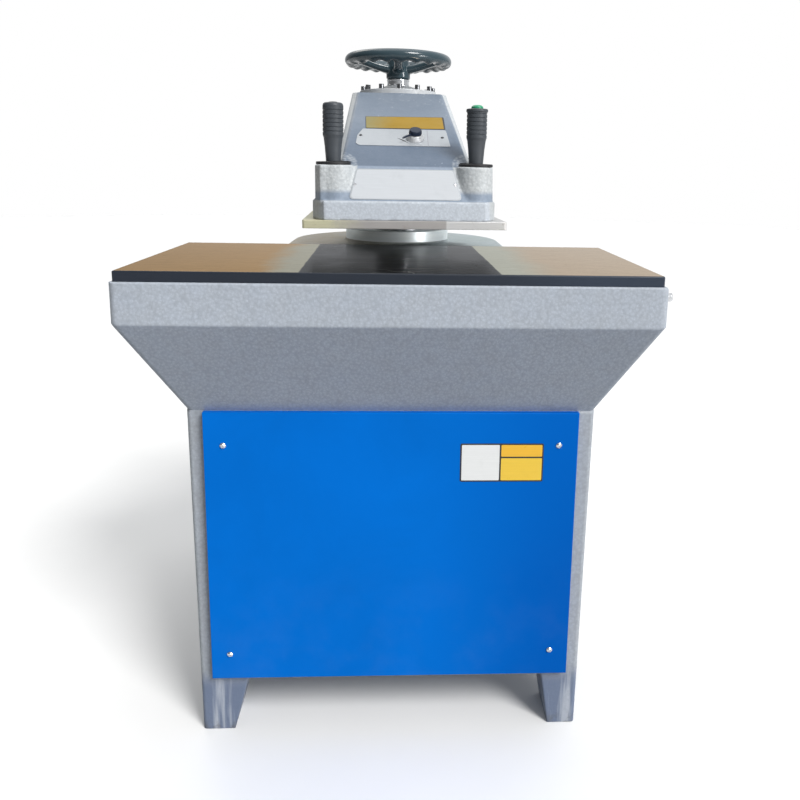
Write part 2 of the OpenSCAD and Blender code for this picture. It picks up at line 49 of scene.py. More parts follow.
# ---------------------------------------------------------------- numbers shared with the CAD
AXIS_Y = 160.0
SWING = math.radians(2.8)
SLOPE_Y0, SLOPE_Z0, SLOPE_Y1, HEAD_Z = -352.0, 1066.0, -95.0, 1216.0
SLOPE_A = math.atan2(HEAD_Z - SLOPE_Z0, SLOPE_Y1 - SLOPE_Y0)
FACE_Y0, FACE_Z0, FACE_Y1, LEDGE_Z = -388.0, 1000.0, -360.0, 1062.0
GRIP_X, GRIP_Y, BOSS_X = 131.0, -353.0, 128.0
PANEL_Y = -328.0
FACE_A = math.atan2(LEDGE_Z - FACE_Z0, FACE_Y1 - FACE_Y0)
ARM = Matrix.Translation((0, AXIS_Y * MM, 0)) @ Matrix.Rotation(SWING, 4, "Z")
AXIS = Matrix.Translation((0, AXIS_Y * MM, 0))


def on_slope(x, s):
    return ARM @ Matrix.Translation((x * MM, (SLOPE_Y0 + s * math.cos(SLOPE_A)) * MM, (SLOPE_Z0 + s * math.sin(SLOPE_A)) * MM)) @ Matrix.Rotation(SLOPE_A, 4, "X")


def on_face(x, s):
    return ARM @ Matrix.Translation((x * MM, (FACE_Y0 + s * math.cos(FACE_A)) * MM, (FACE_Z0 + s * math.sin(FACE_A)) * MM)) @ Matrix.Rotation(FACE_A, 4, "X")


# ---------------------------------------------------------------- camera
def make_camera():
    yaw, pitch, roll = 0.0517, 0.1787, -0.0186
    fwd = Vector((math.sin(yaw) * math.cos(pitch), math.cos(yaw) * math.cos(pitch), -math.sin(pitch)))
    right = Vector((math.cos(yaw), -math.sin(yaw), 0.0))
    down = fwd.cross(right)
    x = right * math.cos(roll) + down * math.sin(roll)
    y = right * math.sin(roll) - down * math.cos(roll)
    data = bpy.data.cameras.new("camera")
    data.sensor_width = 36.0
    data.lens = 33.75
    data.shift_x, data.shift_y = -0.0516, -0.1259
    data.clip_start, data.clip_end = 0.05, 100.0
    cam = bpy.data.objects.new("camera", data)
    scene.collection.objects.link(cam)
    cam.matrix_world = Matrix((
        (x.x, y.x, -fwd.x, 0.0156322),
        (x.y, y.y, -fwd.y, -1.5952679),
        (x.z, y.z, -fwd.z, 1.0690107),
        (0, 0, 0, 1)))
    scene.camera = cam


make_camera()


# ---------------------------------------------------------------- materials
SOCK = {"base": "Base Color", "metal": "Metallic", "rough": "Roughness", "spec": "Specular IOR Level", "tint": "Specular Tint",
        "coat": "Coat Weight", "coat_rough": "Coat Roughness", "normal": "Normal", "sheen": "Sheen Weight", "aniso": "Anisotropic", "ior": "IOR"}


class Mat:
    """A principled material with short helpers for its texture nodes."""

    def __init__(self, name, **kw):
        self.m = bpy.data.materials.new(name)
        self.m.use_nodes = True
        self.t = self.m.node_tree
        self.b = self.t.nodes["Principled BSDF"]
        self.co = self.add("ShaderNodeTexCoord").outputs["Object"]
        self.set(**kw)

    def put(self, sock, v):
        if isinstance(v, bpy.types.NodeSocket):
            self.t.links.new(v, sock)
        elif isinstance(v, (tuple, list)) and sock.type == "RGBA" and len(v) == 3:
            sock.default_value = (*v, 1.0)
        else:
            sock.default_value = v

    def set(self, **kw):
        for k, v in kw.items():
            self.put(self.b.inputs[SOCK[k]], v)
        return self

    def add(self, kind, props=None, **ins):
        n = self.t.nodes.new(kind)
        for k, v in (props or {}).items():
            setattr(n, k, v)
        for k, v in ins.items():
            self.put(n.inputs[int(k[1:])] if k[0] == "_" else n.inputs[k.replace("__", " ")], v)
        return n

    def noise(self, scale, detail=3.0, rough=0.55, dist=0.0, co=None):
        return self.add("ShaderNodeTexNoise", Vector=co or self.co, Scale=scale, Detail=detail, Roughness=rough, Distortion=dist).outputs[0]

    def noise3(self, scale, detail=2.0, co=None):
        return self.add("ShaderNodeTexNoise", Vector=co or self.co, Scale=scale, Detail=detail).outputs[1]

    def cells(self, scale, feature="SMOOTH_F1", smooth=0.5, co=None, rand=1.0):
        n = self.add("ShaderNodeTexVoronoi", {"feature": feature}, Vector=co or self.co, Scale=scale, Randomness=rand)
        if feature == "SMOOTH_F1":
            n.inputs["Smoothness"].default_value = smooth
        return n.outputs["Distance"]

    def stretch(self, scale, rot=(0, 0, 0), co=None):
        return self.add("ShaderNodeMapping", Vector=co or self.co, Scale=scale, Rotation=rot).outputs[0]

    def warp(self, scale, amount, co=None):
        co = co or self.co
        n = self.add("ShaderNodeVectorMath", {"operation": "MULTIPLY_ADD"}, _0=self.noise3(scale, 2.0, co), _1=(amount,) * 3, _2=co)
        return n.outputs[0]

    def math(self, op, a, b=0.0, clamp=False):
        return self.add("ShaderNodeMath", {"operation": op, "use_clamp": clamp}, _0=a, _1=b).outputs[0]

    def rng(self, v, a, b, c=0.0, d=1.0, smooth=True):
        n = self.add("ShaderNodeMapRange", {"interpolation_type": "SMOOTHSTEP" if smooth else "LINEAR", "clamp": True}, _0=v, _1=a, _2=b, _3=c, _4=d)
        return n.outputs[0]

    def ramp(self, fac, *stops):
        n = self.add("ShaderNodeValToRGB", _0=fac)
        r = n.color_ramp
        while len(r.elements) < len(stops):
            r.elements.new(0.5)
        for e, (p, c) in zip(r.elements, stops):
            e.position = p
            e.color = (*c, 1.0) if isinstance(c, (tuple, list)) else (c, c, c, 1.0)
        return n.outputs[0]

    def mix(self, fac, a, b, blend="MIX"):
        n = self.add("ShaderNodeMix", {"data_type": "RGBA", "blend_type": blend}, _0=fac, _6=a if isinstance(a, bpy.types.NodeSocket) else (*a, 1.0),
                     _7=b if isinstance(b, bpy.types.NodeSocket) else (*b, 1.0))
        return n.outputs[2]

    def axis(self, i, co=None):
        return self.add("ShaderNodeSeparateXYZ", Vector=co or self.co).outputs[i]

    def bump(self, height, dist, strength=1.0, normal=None):
        n = self.add("ShaderNodeBump", Strength=strength, Distance=dist, Height=height)
        if normal is not None:
            self.put(n.inputs["Normal"], normal)
        return n.outputs[0]

    def edge(self, radius, lo=0.04, hi=0.3):
        """1 on outer and inner edges, 0 on flats."""
        bev = self.add("ShaderNodeBevel", {"samples": 4}, Radius=radius).outputs[0]
        nrm = self.add("ShaderNodeNewGeometry").outputs["Normal"]
        dot = self.add("ShaderNodeVectorMath", {"operation": "DOT_PRODUCT"}, _0=bev, _1=nrm).outputs["Value"]
        return self.rng(dot, 1.0 - lo, 1.0 - hi, 0.0, 1.0)


def hammer(name, base, cell=0.0052, depth=0.0004, rough=(0.4, 0.56), speck=1.0, foot_wear=False, spec=0.34, deck_reflection=False, under=None):
    """Hammertone enamel on a casting: fine dimples and grain, soft mottling, rubbed edges; optionally painted shade
    under the crease and a painted reflection on the deck's top.
    """
    p = Mat(name, spec=spec)
    col, height, tone = hammer_coat(p, base, cell, speck)
    shade = p.add("ShaderNodeCombineColor", _0=tone, _1=tone, _2=tone).outputs[0]
    col = p.mix(1.0, col, shade, "MULTIPLY")
    rgh = p.rng(p.noise(60.0, 3.0, 0.6), 0.3, 0.7, rough[0], rough[1], False)
    col = hammer_wear(p, col, base)
    if foot_wear:
        low = p.rng(p.axis(2), 0.135, 0.085)
        streak = p.rng(p.noise(9.0, 4.0, 0.6, 0.0, p.stretch((4.0, 4.0, 0.3))), 0.5, 0.66)
        col = p.mix(p.math("MULTIPLY", low, 0.9), col, (0.118, 0.156, 0.244))
        col = p.mix(p.math("MULTIPLY", p.math("MULTIPLY", low, streak), 0.5), col, (0.62, 0.65, 0.7))
        scuff = p.math("MULTIPLY", p.rng(p.axis(2), 0.03, 0.0), p.rng(p.noise(45.0, 4.0, 0.7), 0.42, 0.62))
        col = p.mix(p.math("MULTIPLY", scuff, 0.6), col, (0.1, 0.1, 0.105))
        rgh = p.math("SUBTRACT", rgh, p.math("MULTIPLY", p.math("MULTIPLY", low, streak), 0.2))
    if under:
        # painted shade: below the crease, the down-facing flare is multiplied toward the darker under colour, blotched
        # with noise
        below = p.rng(p.axis(2), 0.8075, 0.8045)
        col = p.mix(p.math("MULTIPLY", below, p.rng(p.noise(5.0, 4.0, 0.6, 0.4), 0.3, 0.7, 0.92, 1.0)), col, p.mix(1.0, col, under, "MULTIPLY"))
    if deck_reflection:
        # painted reflection on the deck's top face: tan toward -x and grey-green toward +x, in noisy patches
        flat = p.math("MULTIPLY", p.rng(p.axis(2), 0.884, 0.89), p.rng(p.noise(12.0, 4.0, 0.6, 0.4), 0.25, 0.7, 0.55, 0.9))
        stain = p.mix(p.rng(p.axis(0), -0.2, 0.12), (0.40, 0.335, 0.225), (0.285, 0.335, 0.335))
        col = p.mix(flat, col, stain)
    return p.set(base=col, rough=rgh, normal=p.bump(height, depth, 0.7)).m


def hammer_coat(p, base, cell, speck):
    """Colour, bump height and tone of a hammered coat."""
    cells = p.cells(1.0 / cell, "SMOOTH_F1", 0.6, p.warp(150.0, 0.005))
    grain = p.noise(850.0, 2.0, 0.6)
    lump = p.noise(30.0, 3.0, 0.5)
    mott = p.noise(7.0, 3.0, 0.5, 0.3)
    height = p.math("ADD", p.math("MULTIPLY", cells, 1.0), p.math("MULTIPLY", grain, 0.35))
    dim = p.rng(cells, 0.1, 0.75, 1.0 + 0.035 * speck, 1.0 - 0.06 * speck, False)
    tone = p.math("MULTIPLY", dim, p.rng(mott, 0.3, 0.7, 0.975, 1.02, False))
    tone = p.math("MULTIPLY", tone, p.rng(grain, 0.3, 0.7, 1.0 - 0.045 * speck, 1.0 + 0.045 * speck, False))
    col = p.ramp(p.rng(lump, 0.3, 0.7, 0.0, 1.0), (0.0, tuple(c * 0.98 for c in base)), (1.0, tuple(min(1.0, c * k) for c, k in zip(base, (1.0, 1.01, 1.025)))))
    return col, height, tone


def hammer_wear(p, col, base):
    """Faint grime in patches and paint rubbed thin on the edges."""
    grime = p.rng(p.noise(6.0, 5.0, 0.65, 0.8), 0.55, 0.8)
    col = p.mix(p.math("MULTIPLY", grime, 0.08), col, (0.16, 0.16, 0.155))
    worn = p.math("MULTIPLY", p.edge(0.003), p.rng(p.noise(38.0, 4.0, 0.7), 0.4, 0.62))
    return p.mix(p.math("MULTIPLY", worn, 0.4), col, tuple(min(1.0, c * 1.25 + 0.06) for c in base))


def arm_paint():
    """The arm's coat: pale skirt and sides, speckled bosses, and darker satin paint on the raked front and the head's face."""
    p = Mat("arm_paint", spec=0.36)
    local = p.add("ShaderNodeMapping", {"vector_type": "TEXTURE"}, Vector=p.co, Location=(0.0, AXIS_Y * MM, 0.0), Rotation=(0.0, 0.0, SWING)).outputs[0]
    x, y, z = (p.axis(i, local) for i in range(3))
    side = (0.455, 0.48, 0.495)
    col, height, tone = hammer_coat(p, side, 0.0046, 1.8)
    # skirt along the front
    skirt = p.math("MULTIPLY", p.rng(z, 1.0015, 0.9985), p.rng(y, -0.372, -0.382))
    col = p.mix(skirt, col, (0.49, 0.53, 0.585))
    # raked front between and under the bosses
    ax = p.math("ABSOLUTE", x)
    dx, dy = p.math("SUBTRACT", ax, BOSS_X * MM), p.math("SUBTRACT", y, GRIP_Y * MM)
    dist = p.math("SQRT", p.math("ADD", p.math("MULTIPLY", dx, dx), p.math("MULTIPLY", dy, dy)))
    cheek = p.math("MULTIPLY", p.rng(ax, 0.111, 0.117), p.rng(y, -0.31, -0.32))
    boss = p.math("MULTIPLY", p.math("MAXIMUM", p.rng(dist, 0.043, 0.0385), cheek), p.rng(z, 1.012, 1.023))
    raked = p.math("MULTIPLY", p.math("MULTIPLY", p.rng(z, 0.9995, 1.002), p.rng(y, -0.325, -0.34)), p.math("SUBTRACT", 1.0, boss))
    col = p.mix(raked, col, (0.235, 0.285, 0.36))
    # sloping face of the head
    rise = p.math("SUBTRACT", p.math("MULTIPLY", p.math("SUBTRACT", z, SLOPE_Z0 * MM), math.cos(SLOPE_A)),
                  p.math("MULTIPLY", p.math("SUBTRACT", y, SLOPE_Y0 * MM), math.sin(SLOPE_A)))
    face = p.math("MULTIPLY", p.rng(p.math("ABSOLUTE", rise), 0.0042, 0.0018), p.rng(z, 1.061, 1.064))
    # painted shade: the head's face is coloured darker toward its bottom edge at the ledge, lighter toward the top
    cloud = p.noise(14.0, 3.0, 0.5, 0.4)
    low = p.ramp(cloud, (0.3, (0.087, 0.122, 0.175)), (0.7, (0.102, 0.138, 0.195)))
    high = p.ramp(cloud, (0.3, (0.155, 0.192, 0.245)), (0.7, (0.18, 0.216, 0.27)))
    blue = p.mix(p.rng(z, 1.085, 1.17), low, high)
    col = p.mix(face, col, blue)
    # painted highlight: pale speckles on the head's face, standing for the glint of a lamp on the glossy paint
    painted_glint = p.math("MULTIPLY", p.rng(p.noise(95.0, 4.0, 0.7), 0.6, 0.68), p.rng(p.noise(7.0, 2.0, 0.5), 0.52, 0.66))
    col = p.mix(p.math("MULTIPLY", p.math("MULTIPLY", painted_glint, face), 0.35), col, (0.5, 0.54, 0.6))
    flat = p.math("MAXIMUM", face, p.math("MULTIPLY", raked, 0.6))
    rough_coat = p.math("MULTIPLY", p.rng(p.cells(150.0, "SMOOTH_F1", 0.5, p.warp(110.0, 0.006)), 0.1, 0.8, 1.0, 0.0, False), boss)
    col = p.mix(p.math("MULTIPLY", rough_coat, 0.28), col, (0.78, 0.8, 0.8))
    calm = p.rng(flat, 0.0, 1.0, 1.0, 0.35, False)
    tone = p.math("ADD", p.math("MULTIPLY", p.math("SUBTRACT", tone, 1.0), calm), 1.0)
    shade = p.add("ShaderNodeCombineColor", _0=tone, _1=tone, _2=tone).outputs[0]
    col = p.mix(1.0, col, shade, "MULTIPLY")
    col = hammer_wear(p, col, (0.42, 0.45, 0.48))
    height = p.math("ADD", p.math("MULTIPLY", height, calm), p.math("MULTIPLY", rough_coat, 1.6))
    rgh = p.math("SUBTRACT", p.rng(p.noise(60.0, 3.0, 0.6), 0.3, 0.7, 0.42, 0.56, False), p.math("MULTIPLY", flat, 0.06))
    return p.set(base=col, rough=rgh, normal=p.bump(height, 0.00042, 0.75)).m


def enamel(name, base, rough=(0.26, 0.38), peel=0.00004, wave=0.0, spec=0.4, dust=0.0, edge=None, coat=0.0, deep=None):
    """Sprayed gloss or satin paint with orange peel, faint mottling and rubbed edges."""
    p = Mat(name, spec=spec, coat=coat, coat_rough=0.12)
    mott = p.noise(4.0, 4.0, 0.6, 0.5)
    col = p.ramp(mott, (0.3, tuple(c * 0.93 for c in base)), (0.7, tuple(min(1.0, c * 1.07) for c in base)))
    fine = p.noise(700.0, 2.0, 0.5)
    col = p.mix(p.rng(fine, 0.35, 0.7, 0.0, 0.10, False), col, tuple(min(1.0, c * 1.15 + 0.01) for c in base))
    # painted shade on the blue panels: toward +x and toward the bottom the colour shifts to the deeper blue; on the
    # table edge the same shift gives a lighter blue toward +x
    if deep:
        side = p.math("ADD", p.axis(0), p.math("MULTIPLY", p.math("SUBTRACT", mott, 0.5), 0.2))
        col = p.mix(p.math("MULTIPLY", p.rng(side, 0.05, 0.34), p.rng(p.axis(2), 0.75, 0.25, 0.6, 1.0)), col, deep)
    if dust:
        low = p.math("MULTIPLY", p.rng(p.axis(2), 0.42, 0.1), p.rng(p.noise(11.0, 5.0, 0.65), 0.4, 0.75))
        col = p.mix(p.math("MULTIPLY", low, dust), col, (0.42, 0.46, 0.5))
    if edge:
        worn = p.math("MULTIPLY", p.edge(0.0012), p.rng(p.noise(70.0, 4.0, 0.7), 0.4, 0.6))
        col = p.mix(p.math("MULTIPLY", worn, 0.6), col, edge)
    h = p.math("MULTIPLY", p.noise(330.0, 2.0, 0.5), peel / 0.0001)
    if wave:
        h = p.math("ADD", h, p.math("MULTIPLY", p.noise(3.2, 2.0, 0.4), wave / 0.0001))
    rgh = p.rng(p.noise(24.0, 4.0, 0.6), 0.3, 0.7, rough[0], rough[1], False)
    return p.set(base=col, rough=rgh, normal=p.bump(h, 0.0001, 1.0)).m


def steel(name, base, rough=(0.2, 0.38), lines=(4.0, 4.0, 900.0), depth=0.00002, stain=0.25, metal=1.0, tint=None, edge=None):
    """Bright or machined metal with tool lines, smears and small scratches."""
    p = Mat(name, metal=metal)
    if tint:
        p.set(tint=tint)
    ln = p.noise(1.0, 4.0, 0.7, 0.0, p.stretch(lines))
    smear = p.noise(22.0, 4.0, 0.65, 0.8)
    col = p.ramp(ln, (0.25, tuple(c * 0.88 for c in base)), (0.75, tuple(min(1.0, c * 1.08) for c in base)))
    col = p.mix(p.math("MULTIPLY", p.rng(smear, 0.5, 0.8), stain), col, tuple(c * 0.5 for c in base))
    if edge:
        col = p.mix(p.math("MULTIPLY", p.edge(0.0008), 0.5), col, edge)
    rgh = p.math("ADD", p.rng(smear, 0.3, 0.75, rough[0], rough[1], False), p.rng(ln, 0.3, 0.7, -0.05, 0.05, False))
    return p.set(base=col, rough=rgh, normal=p.bump(ln, depth, 1.0)).m


def rubber(name, base, rough=(0.5, 0.72), grain=0.00006, spec=0.4):
    """Moulded rubber or plastic with a fine sparked grain and handling shine."""
    p = Mat(name, spec=spec)
    g = p.noise(1500.0, 3.0, 0.6)
    rub = p.noise(35.0, 4.0, 0.6)
    col = p.ramp(p.noise(18.0, 4.0, 0.6), (0.3, tuple(c * 0.82 for c in base)), (0.7, tuple(c * 1.2 for c in base)))
    col = p.mix(p.rng(g, 0.4, 0.75, 0.0, 0.2, False), col, tuple(min(1.0, c * 1.6 + 0.01) for c in base))
    return p.set(base=col, rough=p.rng(rub, 0.3, 0.7, rough[0], rough[1], False), normal=p.bump(g, grain, 1.0)).m


def table_top():
    """Ground and oiled steel face with grinding lines, scratches and smears; the tan, olive, green and rose tones at
    the sides are painted reflections of the surroundings, and the dark middle is a painted reflection of the arm's
    underside.
    """
    p = Mat("table_top", metal=1.0)
    ln = p.noise(1.0, 4.0, 0.7, 0.0, p.stretch((2.5, 420.0, 1.0)))
    cloud = p.noise(3.5, 5.0, 0.6, 0.8)
    spots = p.noise(60.0, 4.0, 0.7, 0.3)
    x, y = p.axis(0), p.axis(1)
    drift = p.math("MULTIPLY", p.math("SUBTRACT", cloud, 0.5), 0.12)
    where = p.math("ADD", x, drift)
    # painted reflection of the surroundings: tan and olive toward -x, green and rose toward +x
    tan = p.ramp(cloud, (0.28, (0.44, 0.345, 0.235)), (0.55, (0.49, 0.395, 0.28)), (0.78, (0.52, 0.435, 0.325)))
    olive = p.ramp(cloud, (0.3, (0.36, 0.345, 0.25)), (0.7, (0.42, 0.40, 0.31)))
    green = p.ramp(cloud, (0.3, (0.37, 0.40, 0.365)), (0.7, (0.44, 0.47, 0.43)))
    rose = p.ramp(cloud, (0.28, (0.48, 0.405, 0.33)), (0.7, (0.53, 0.455, 0.375)))
    left = p.mix(p.rng(where, -0.235, -0.175), tan, olive)
    right = p.mix(p.rng(where, 0.205, 0.285), green, rose)
    col = p.mix(p.rng(x, -0.02, 0.02), left, right)
    drag = p.noise(1.0, 4.0, 0.7, 0.0, p.stretch((22.0, 75.0, 1.0)))
    speckle = p.noise(130.0, 3.0, 0.75)
    grain = p.math("MULTIPLY", p.rng(drag, 0.3, 0.7, 0.84, 1.12, False), p.rng(speckle, 0.3, 0.7, 0.9, 1.08, False))
    col = p.mix(1.0, col, p.add("ShaderNodeCombineColor", _0=grain, _1=grain, _2=grain).outputs[0], "MULTIPLY")
    col = p.mix(p.rng(ln, 0.3, 0.8, 0.0, 0.22, False), col, (0.5, 0.43, 0.34))
    col = p.mix(p.rng(spots, 0.62, 0.82, 0.0, 0.3), col, (0.2, 0.15, 0.1))
    # painted reflection of the arm's dark underside: a dark middle as wide as the press plate, darker toward the front,
    # with light drag streaks
    fray = p.math("MULTIPLY", p.math("SUBTRACT", p.noise(26.0, 3.0, 0.6), 0.5), 0.004)
    skew = p.math("ADD", p.math("MULTIPLY", y, 0.028), p.math("ADD", x, fray))
    arm_reflection_zone = p.math("MULTIPLY", p.rng(skew, -0.1645, -0.1615), p.rng(skew, 0.1655, 0.1625))
    dark = p.ramp(cloud, (0.3, (0.38, 0.375, 0.365)), (0.7, (0.47, 0.485, 0.505)))
    dark = p.mix(p.rng(ln, 0.35, 0.8, 0.0, 0.35, False), dark, (0.56, 0.555, 0.55))
    dark = p.mix(p.rng(y, -0.14, -0.36), dark, (0.17, 0.177, 0.186))
    dark = p.mix(p.rng(drag, 0.52, 0.72, 0.0, 0.4), dark, (0.5, 0.505, 0.515))
    col = p.mix(arm_reflection_zone, col, dark)
    marks = p.cells(7.0, "DISTANCE_TO_EDGE", co=p.warp(5.0, 0.12, p.stretch((0.35, 1.6, 1.0))))
    scratch = p.rng(marks, 0.004, 0.0)
    col = p.mix(p.math("MULTIPLY", scratch, 0.3), col, (0.55, 0.5, 0.44))
    # specular tint with the same painted reflection: warm at the sides, low in the dark middle
    rim = p.mix(p.rng(where, -0.235, -0.175), (0.92, 0.66, 0.40), (0.9, 0.88, 0.78))
    rim = p.mix(p.rng(where, 0.205, 0.285), rim, (0.92, 0.79, 0.65))
    tint = p.mix(arm_reflection_zone, rim, (0.36, 0.36, 0.37))
    rgh = p.math("ADD", p.rng(p.noise(7.0, 5.0, 0.65, 0.6), 0.3, 0.75, 0.06, 0.15, False), p.math("MULTIPLY", scratch, 0.12))
    rgh = p.math("ADD", rgh, p.math("MULTIPLY", arm_reflection_zone, 0.12))
    h = p.math("SUBTRACT", p.math("MULTIPLY", ln, 0.05), p.math("MULTIPLY", scratch, 0.25))
    return p.set(base=col, rough=rgh, tint=tint, normal=p.bump(h, 0.00003, 1.0)).m


def press_steel():
    """Ground edge of the press plate: an olive tint at the -x end as a painted reflection of the surroundings, grey in
    the middle, and a painted highlight brightening the +x end.
    """
    p = Mat("press_steel", metal=0.55)
    ln = p.noise(1.0, 4.0, 0.7, 0.0, p.stretch((5.0, 5.0, 600.0)))
    smear = p.noise(16.0, 4.0, 0.65, 0.6)
    where = p.math("ADD", p.axis(0), p.math("MULTIPLY", p.math("SUBTRACT", smear, 0.5), 0.12))
    # painted reflection: olive tint at the -x end, grey toward the middle
    col = p.mix(p.rng(where, -0.13, -0.055), (0.56, 0.54, 0.375), (0.38, 0.362, 0.352))
    # painted highlight: the +x end made bright
    col = p.mix(p.rng(p.axis(0), 0.0915, 0.0945), col, (0.58, 0.577, 0.575))
    tone = p.rng(ln, 0.25, 0.75, 0.9, 1.08, False)
    col = p.mix(1.0, col, p.add("ShaderNodeCombineColor", _0=tone, _1=tone, _2=tone).outputs[0], "MULTIPLY")
    col = p.mix(p.math("MULTIPLY", p.rng(p.noise(55.0, 4.0, 0.7), 0.58, 0.75), 0.35), col, (0.2, 0.17, 0.12))
    col = p.mix(p.math("MULTIPLY", p.edge(0.0012), 0.45), col, (0.7, 0.69, 0.64))
    rgh = p.rng(smear, 0.3, 0.75, 0.34, 0.5, False)
    return p.set(base=col, rough=rgh, normal=p.bump(ln, 0.00003, 1.0)).m


def plate(name, base, metal=0.0, rough=(0.26, 0.42), fade=None, spec=0.5):
    """Printed or anodised thin plate: faint brushed lines, handling marks, darker rim."""
    p = Mat(name, metal=metal, spec=spec)
    ln = p.noise(1.0, 3.0, 0.65, 0.0, p.stretch((18.0, 260.0, 1500.0)))
    smear = p.noise(40.0, 4.0, 0.6, 0.5)
    col = p.ramp(ln, (0.25, tuple(c * 0.94 for c in base)), (0.75, tuple(min(1.0, c * 1.04) for c in base)))
    if fade:
        a, b, other = fade
        col = p.mix(p.rng(p.math("ADD", p.axis(0), p.math("MULTIPLY", smear, 0.03)), a, b, 0.85, 0.0), col, other)
    col = p.mix(p.math("MULTIPLY", p.rng(smear, 0.5, 0.8), 0.2), col, tuple(c * 0.72 for c in base))
    rgh = p.rng(smear, 0.3, 0.75, rough[0], rough[1], False)
    return p.set(base=col, rough=rgh, normal=p.bump(ln, 0.00001, 1.0)).m


HAMMER = (0.402, 0.437, 0.49)
MATS = {
    "casting": hammer("casting_paint", HAMMER, speck=2.0),
    # table casting: painted shade on the down-facing flare under the crease
    "table_casting": hammer("table_casting_paint", HAMMER, speck=2.0, under=(0.735, 0.75, 0.785)),
    "pedestal": hammer("pedestal_paint", (0.355, 0.381, 0.417), speck=2.0, foot_wear=True),
    # housing: painted reflection on the deck's top
    "housing": hammer("housing_paint", HAMMER, speck=2.0, deck_reflection=True),
    "collar": steel("collar_steel", (0.88, 0.97, 1.0), rough=(0.39, 0.49), lines=(4.0, 4.0, 900.0), depth=0.00001, stain=0.06, metal=0.55),
    "arm": arm_paint(),
    "cap": hammer("cap_paint", (0.50, 0.515, 0.53), cell=0.0042, depth=0.0002, rough=(0.28, 0.42)),
    "table_top": table_top(),
    "table_edge": enamel("table_edge", (0.0105, 0.0155, 0.026), rough=(0.34, 0.5), peel=0.00006, spec=0.34, deep=(0.027, 0.042, 0.07), edge=(0.12, 0.13, 0.15)),
    "press": press_steel(),
    # painted shade: only the press plate's downward face is near-black, standing for the shade under the plate
    "press_under": enamel("press_underside", (0.03, 0.03, 0.03), rough=(0.5, 0.65), peel=0.00006, spec=0.25, edge=(0.1, 0.1, 0.1)),
    # blue panels: painted shade, a deeper blue toward their lower right
    "blue": enamel("blue_enamel", (0.0, 0.140, 0.575), rough=(0.34, 0.46), peel=0.00003, wave=0.0007, spec=0.035, dust=0.02, deep=(0.0, 0.098, 0.45), edge=(0.06, 0.35, 0.85)),
    "dark_paint": enamel("dark_enamel", (0.035, 0.041, 0.05), rough=(0.35, 0.5), edge=(0.3, 0.3, 0.31)),
    "motor_paint": enamel("motor_enamel", (0.06, 0.1, 0.17), rough=(0.35, 0.5), edge=(0.3, 0.3, 0.31)),
    "box_paint": enamel("box_enamel", (0.55, 0.55, 0.52), rough=(0.35, 0.5), edge=(0.5, 0.5, 0.5)),
    "zinc": steel("zinc_steel", (0.66, 0.67, 0.69), rough=(0.2, 0.36), lines=(300.0, 300.0, 300.0)),
    "black_oxide": steel("black_oxide", (0.045, 0.046, 0.05), rough=(0.3, 0.5), lines=(300.0, 300.0, 300.0), edge=(0.35, 0.35, 0.36)),
    "machined": steel("machined_steel", (0.60, 0.565, 0.49), rough=(0.3, 0.46), lines=(6.0, 6.0, 700.0), depth=0.00003, edge=(0.75, 0.73, 0.68)),
    "column": steel("ground_column", (0.7, 0.71, 0.73), rough=(0.1, 0.2), lines=(4.0, 4.0, 1600.0), depth=0.000006, stain=0.12),
    "chrome": steel("polished_chrome", (0.78, 0.79, 0.81), rough=(0.07, 0.16), lines=(4.0, 4.0, 1800.0), depth=0.000004, stain=0.15),
    "bronze": steel("bearing_bronze", (0.58, 0.36, 0.14), rough=(0.25, 0.42), lines=(4.0, 4.0, 1200.0)),
    "spring": steel("oiled_spring", (0.18, 0.185, 0.2), rough=(0.3, 0.45), lines=(200.0, 200.0, 200.0)),
    "bakelite": enamel("phenolic", (0.029, 0.054, 0.068), rough=(0.16, 0.28), peel=0.00002, spec=0.36, edge=None, coat=0.22),
    "cap_bolt": steel("oiled_bolt", (0.2, 0.205, 0.215), rough=(0.22, 0.36), lines=(300.0, 300.0, 300.0), edge=(0.5, 0.5, 0.52)),
    "grip": rubber("grip_rubber", (0.046, 0.053, 0.062), rough=(0.42, 0.6)),
    "gasket": rubber("gasket_rubber", (0.012, 0.012, 0.014), rough=(0.45, 0.62)),
    "plastic": rubber("moulded_plastic", (0.014, 0.016, 0.024), rough=(0.25, 0.4), grain=0.00002, spec=0.5),
    "knob": rubber("knob_plastic", (0.008, 0.015, 0.034), rough=(0.26, 0.4), grain=0.00002, spec=0.3),
    "bezel": steel("satin_bezel", (0.72, 0.73, 0.75), rough=(0.3, 0.42), lines=(200.0, 200.0, 200.0), depth=0.000008, stain=0.1, metal=0.7),
    "green": rubber("green_plastic", (0.02, 0.26, 0.13), rough=(0.25, 0.4), grain=0.00002, spec=0.5),
    "alu": plate("satin_plate", (0.365, 0.388, 0.413), metal=0.25, rough=(0.34, 0.5)),
    "seam": plate("plate_seam", (0.24, 0.235, 0.27)),
    "white": plate("white_plate", (0.50, 0.522, 0.55), rough=(0.44, 0.6), spec=0.3),
    "yellow": plate("yellow_plate", (0.312, 0.19, 0.012), fade=(-0.055, 0.02, (0.215, 0.205, 0.095)), rough=(0.4, 0.55), spec=0.3),
    "amber": plate("amber_plate", (0.78, 0.52, 0.05)),
    "pale": plate("pale_plate", (0.74, 0.75, 0.75)),
    "amber_deep": plate("amber_deep_plate", (0.80, 0.45, 0.03)),
    "ink": enamel("black_ink", (0.02, 0.02, 0.022), rough=(0.35, 0.5)),
}


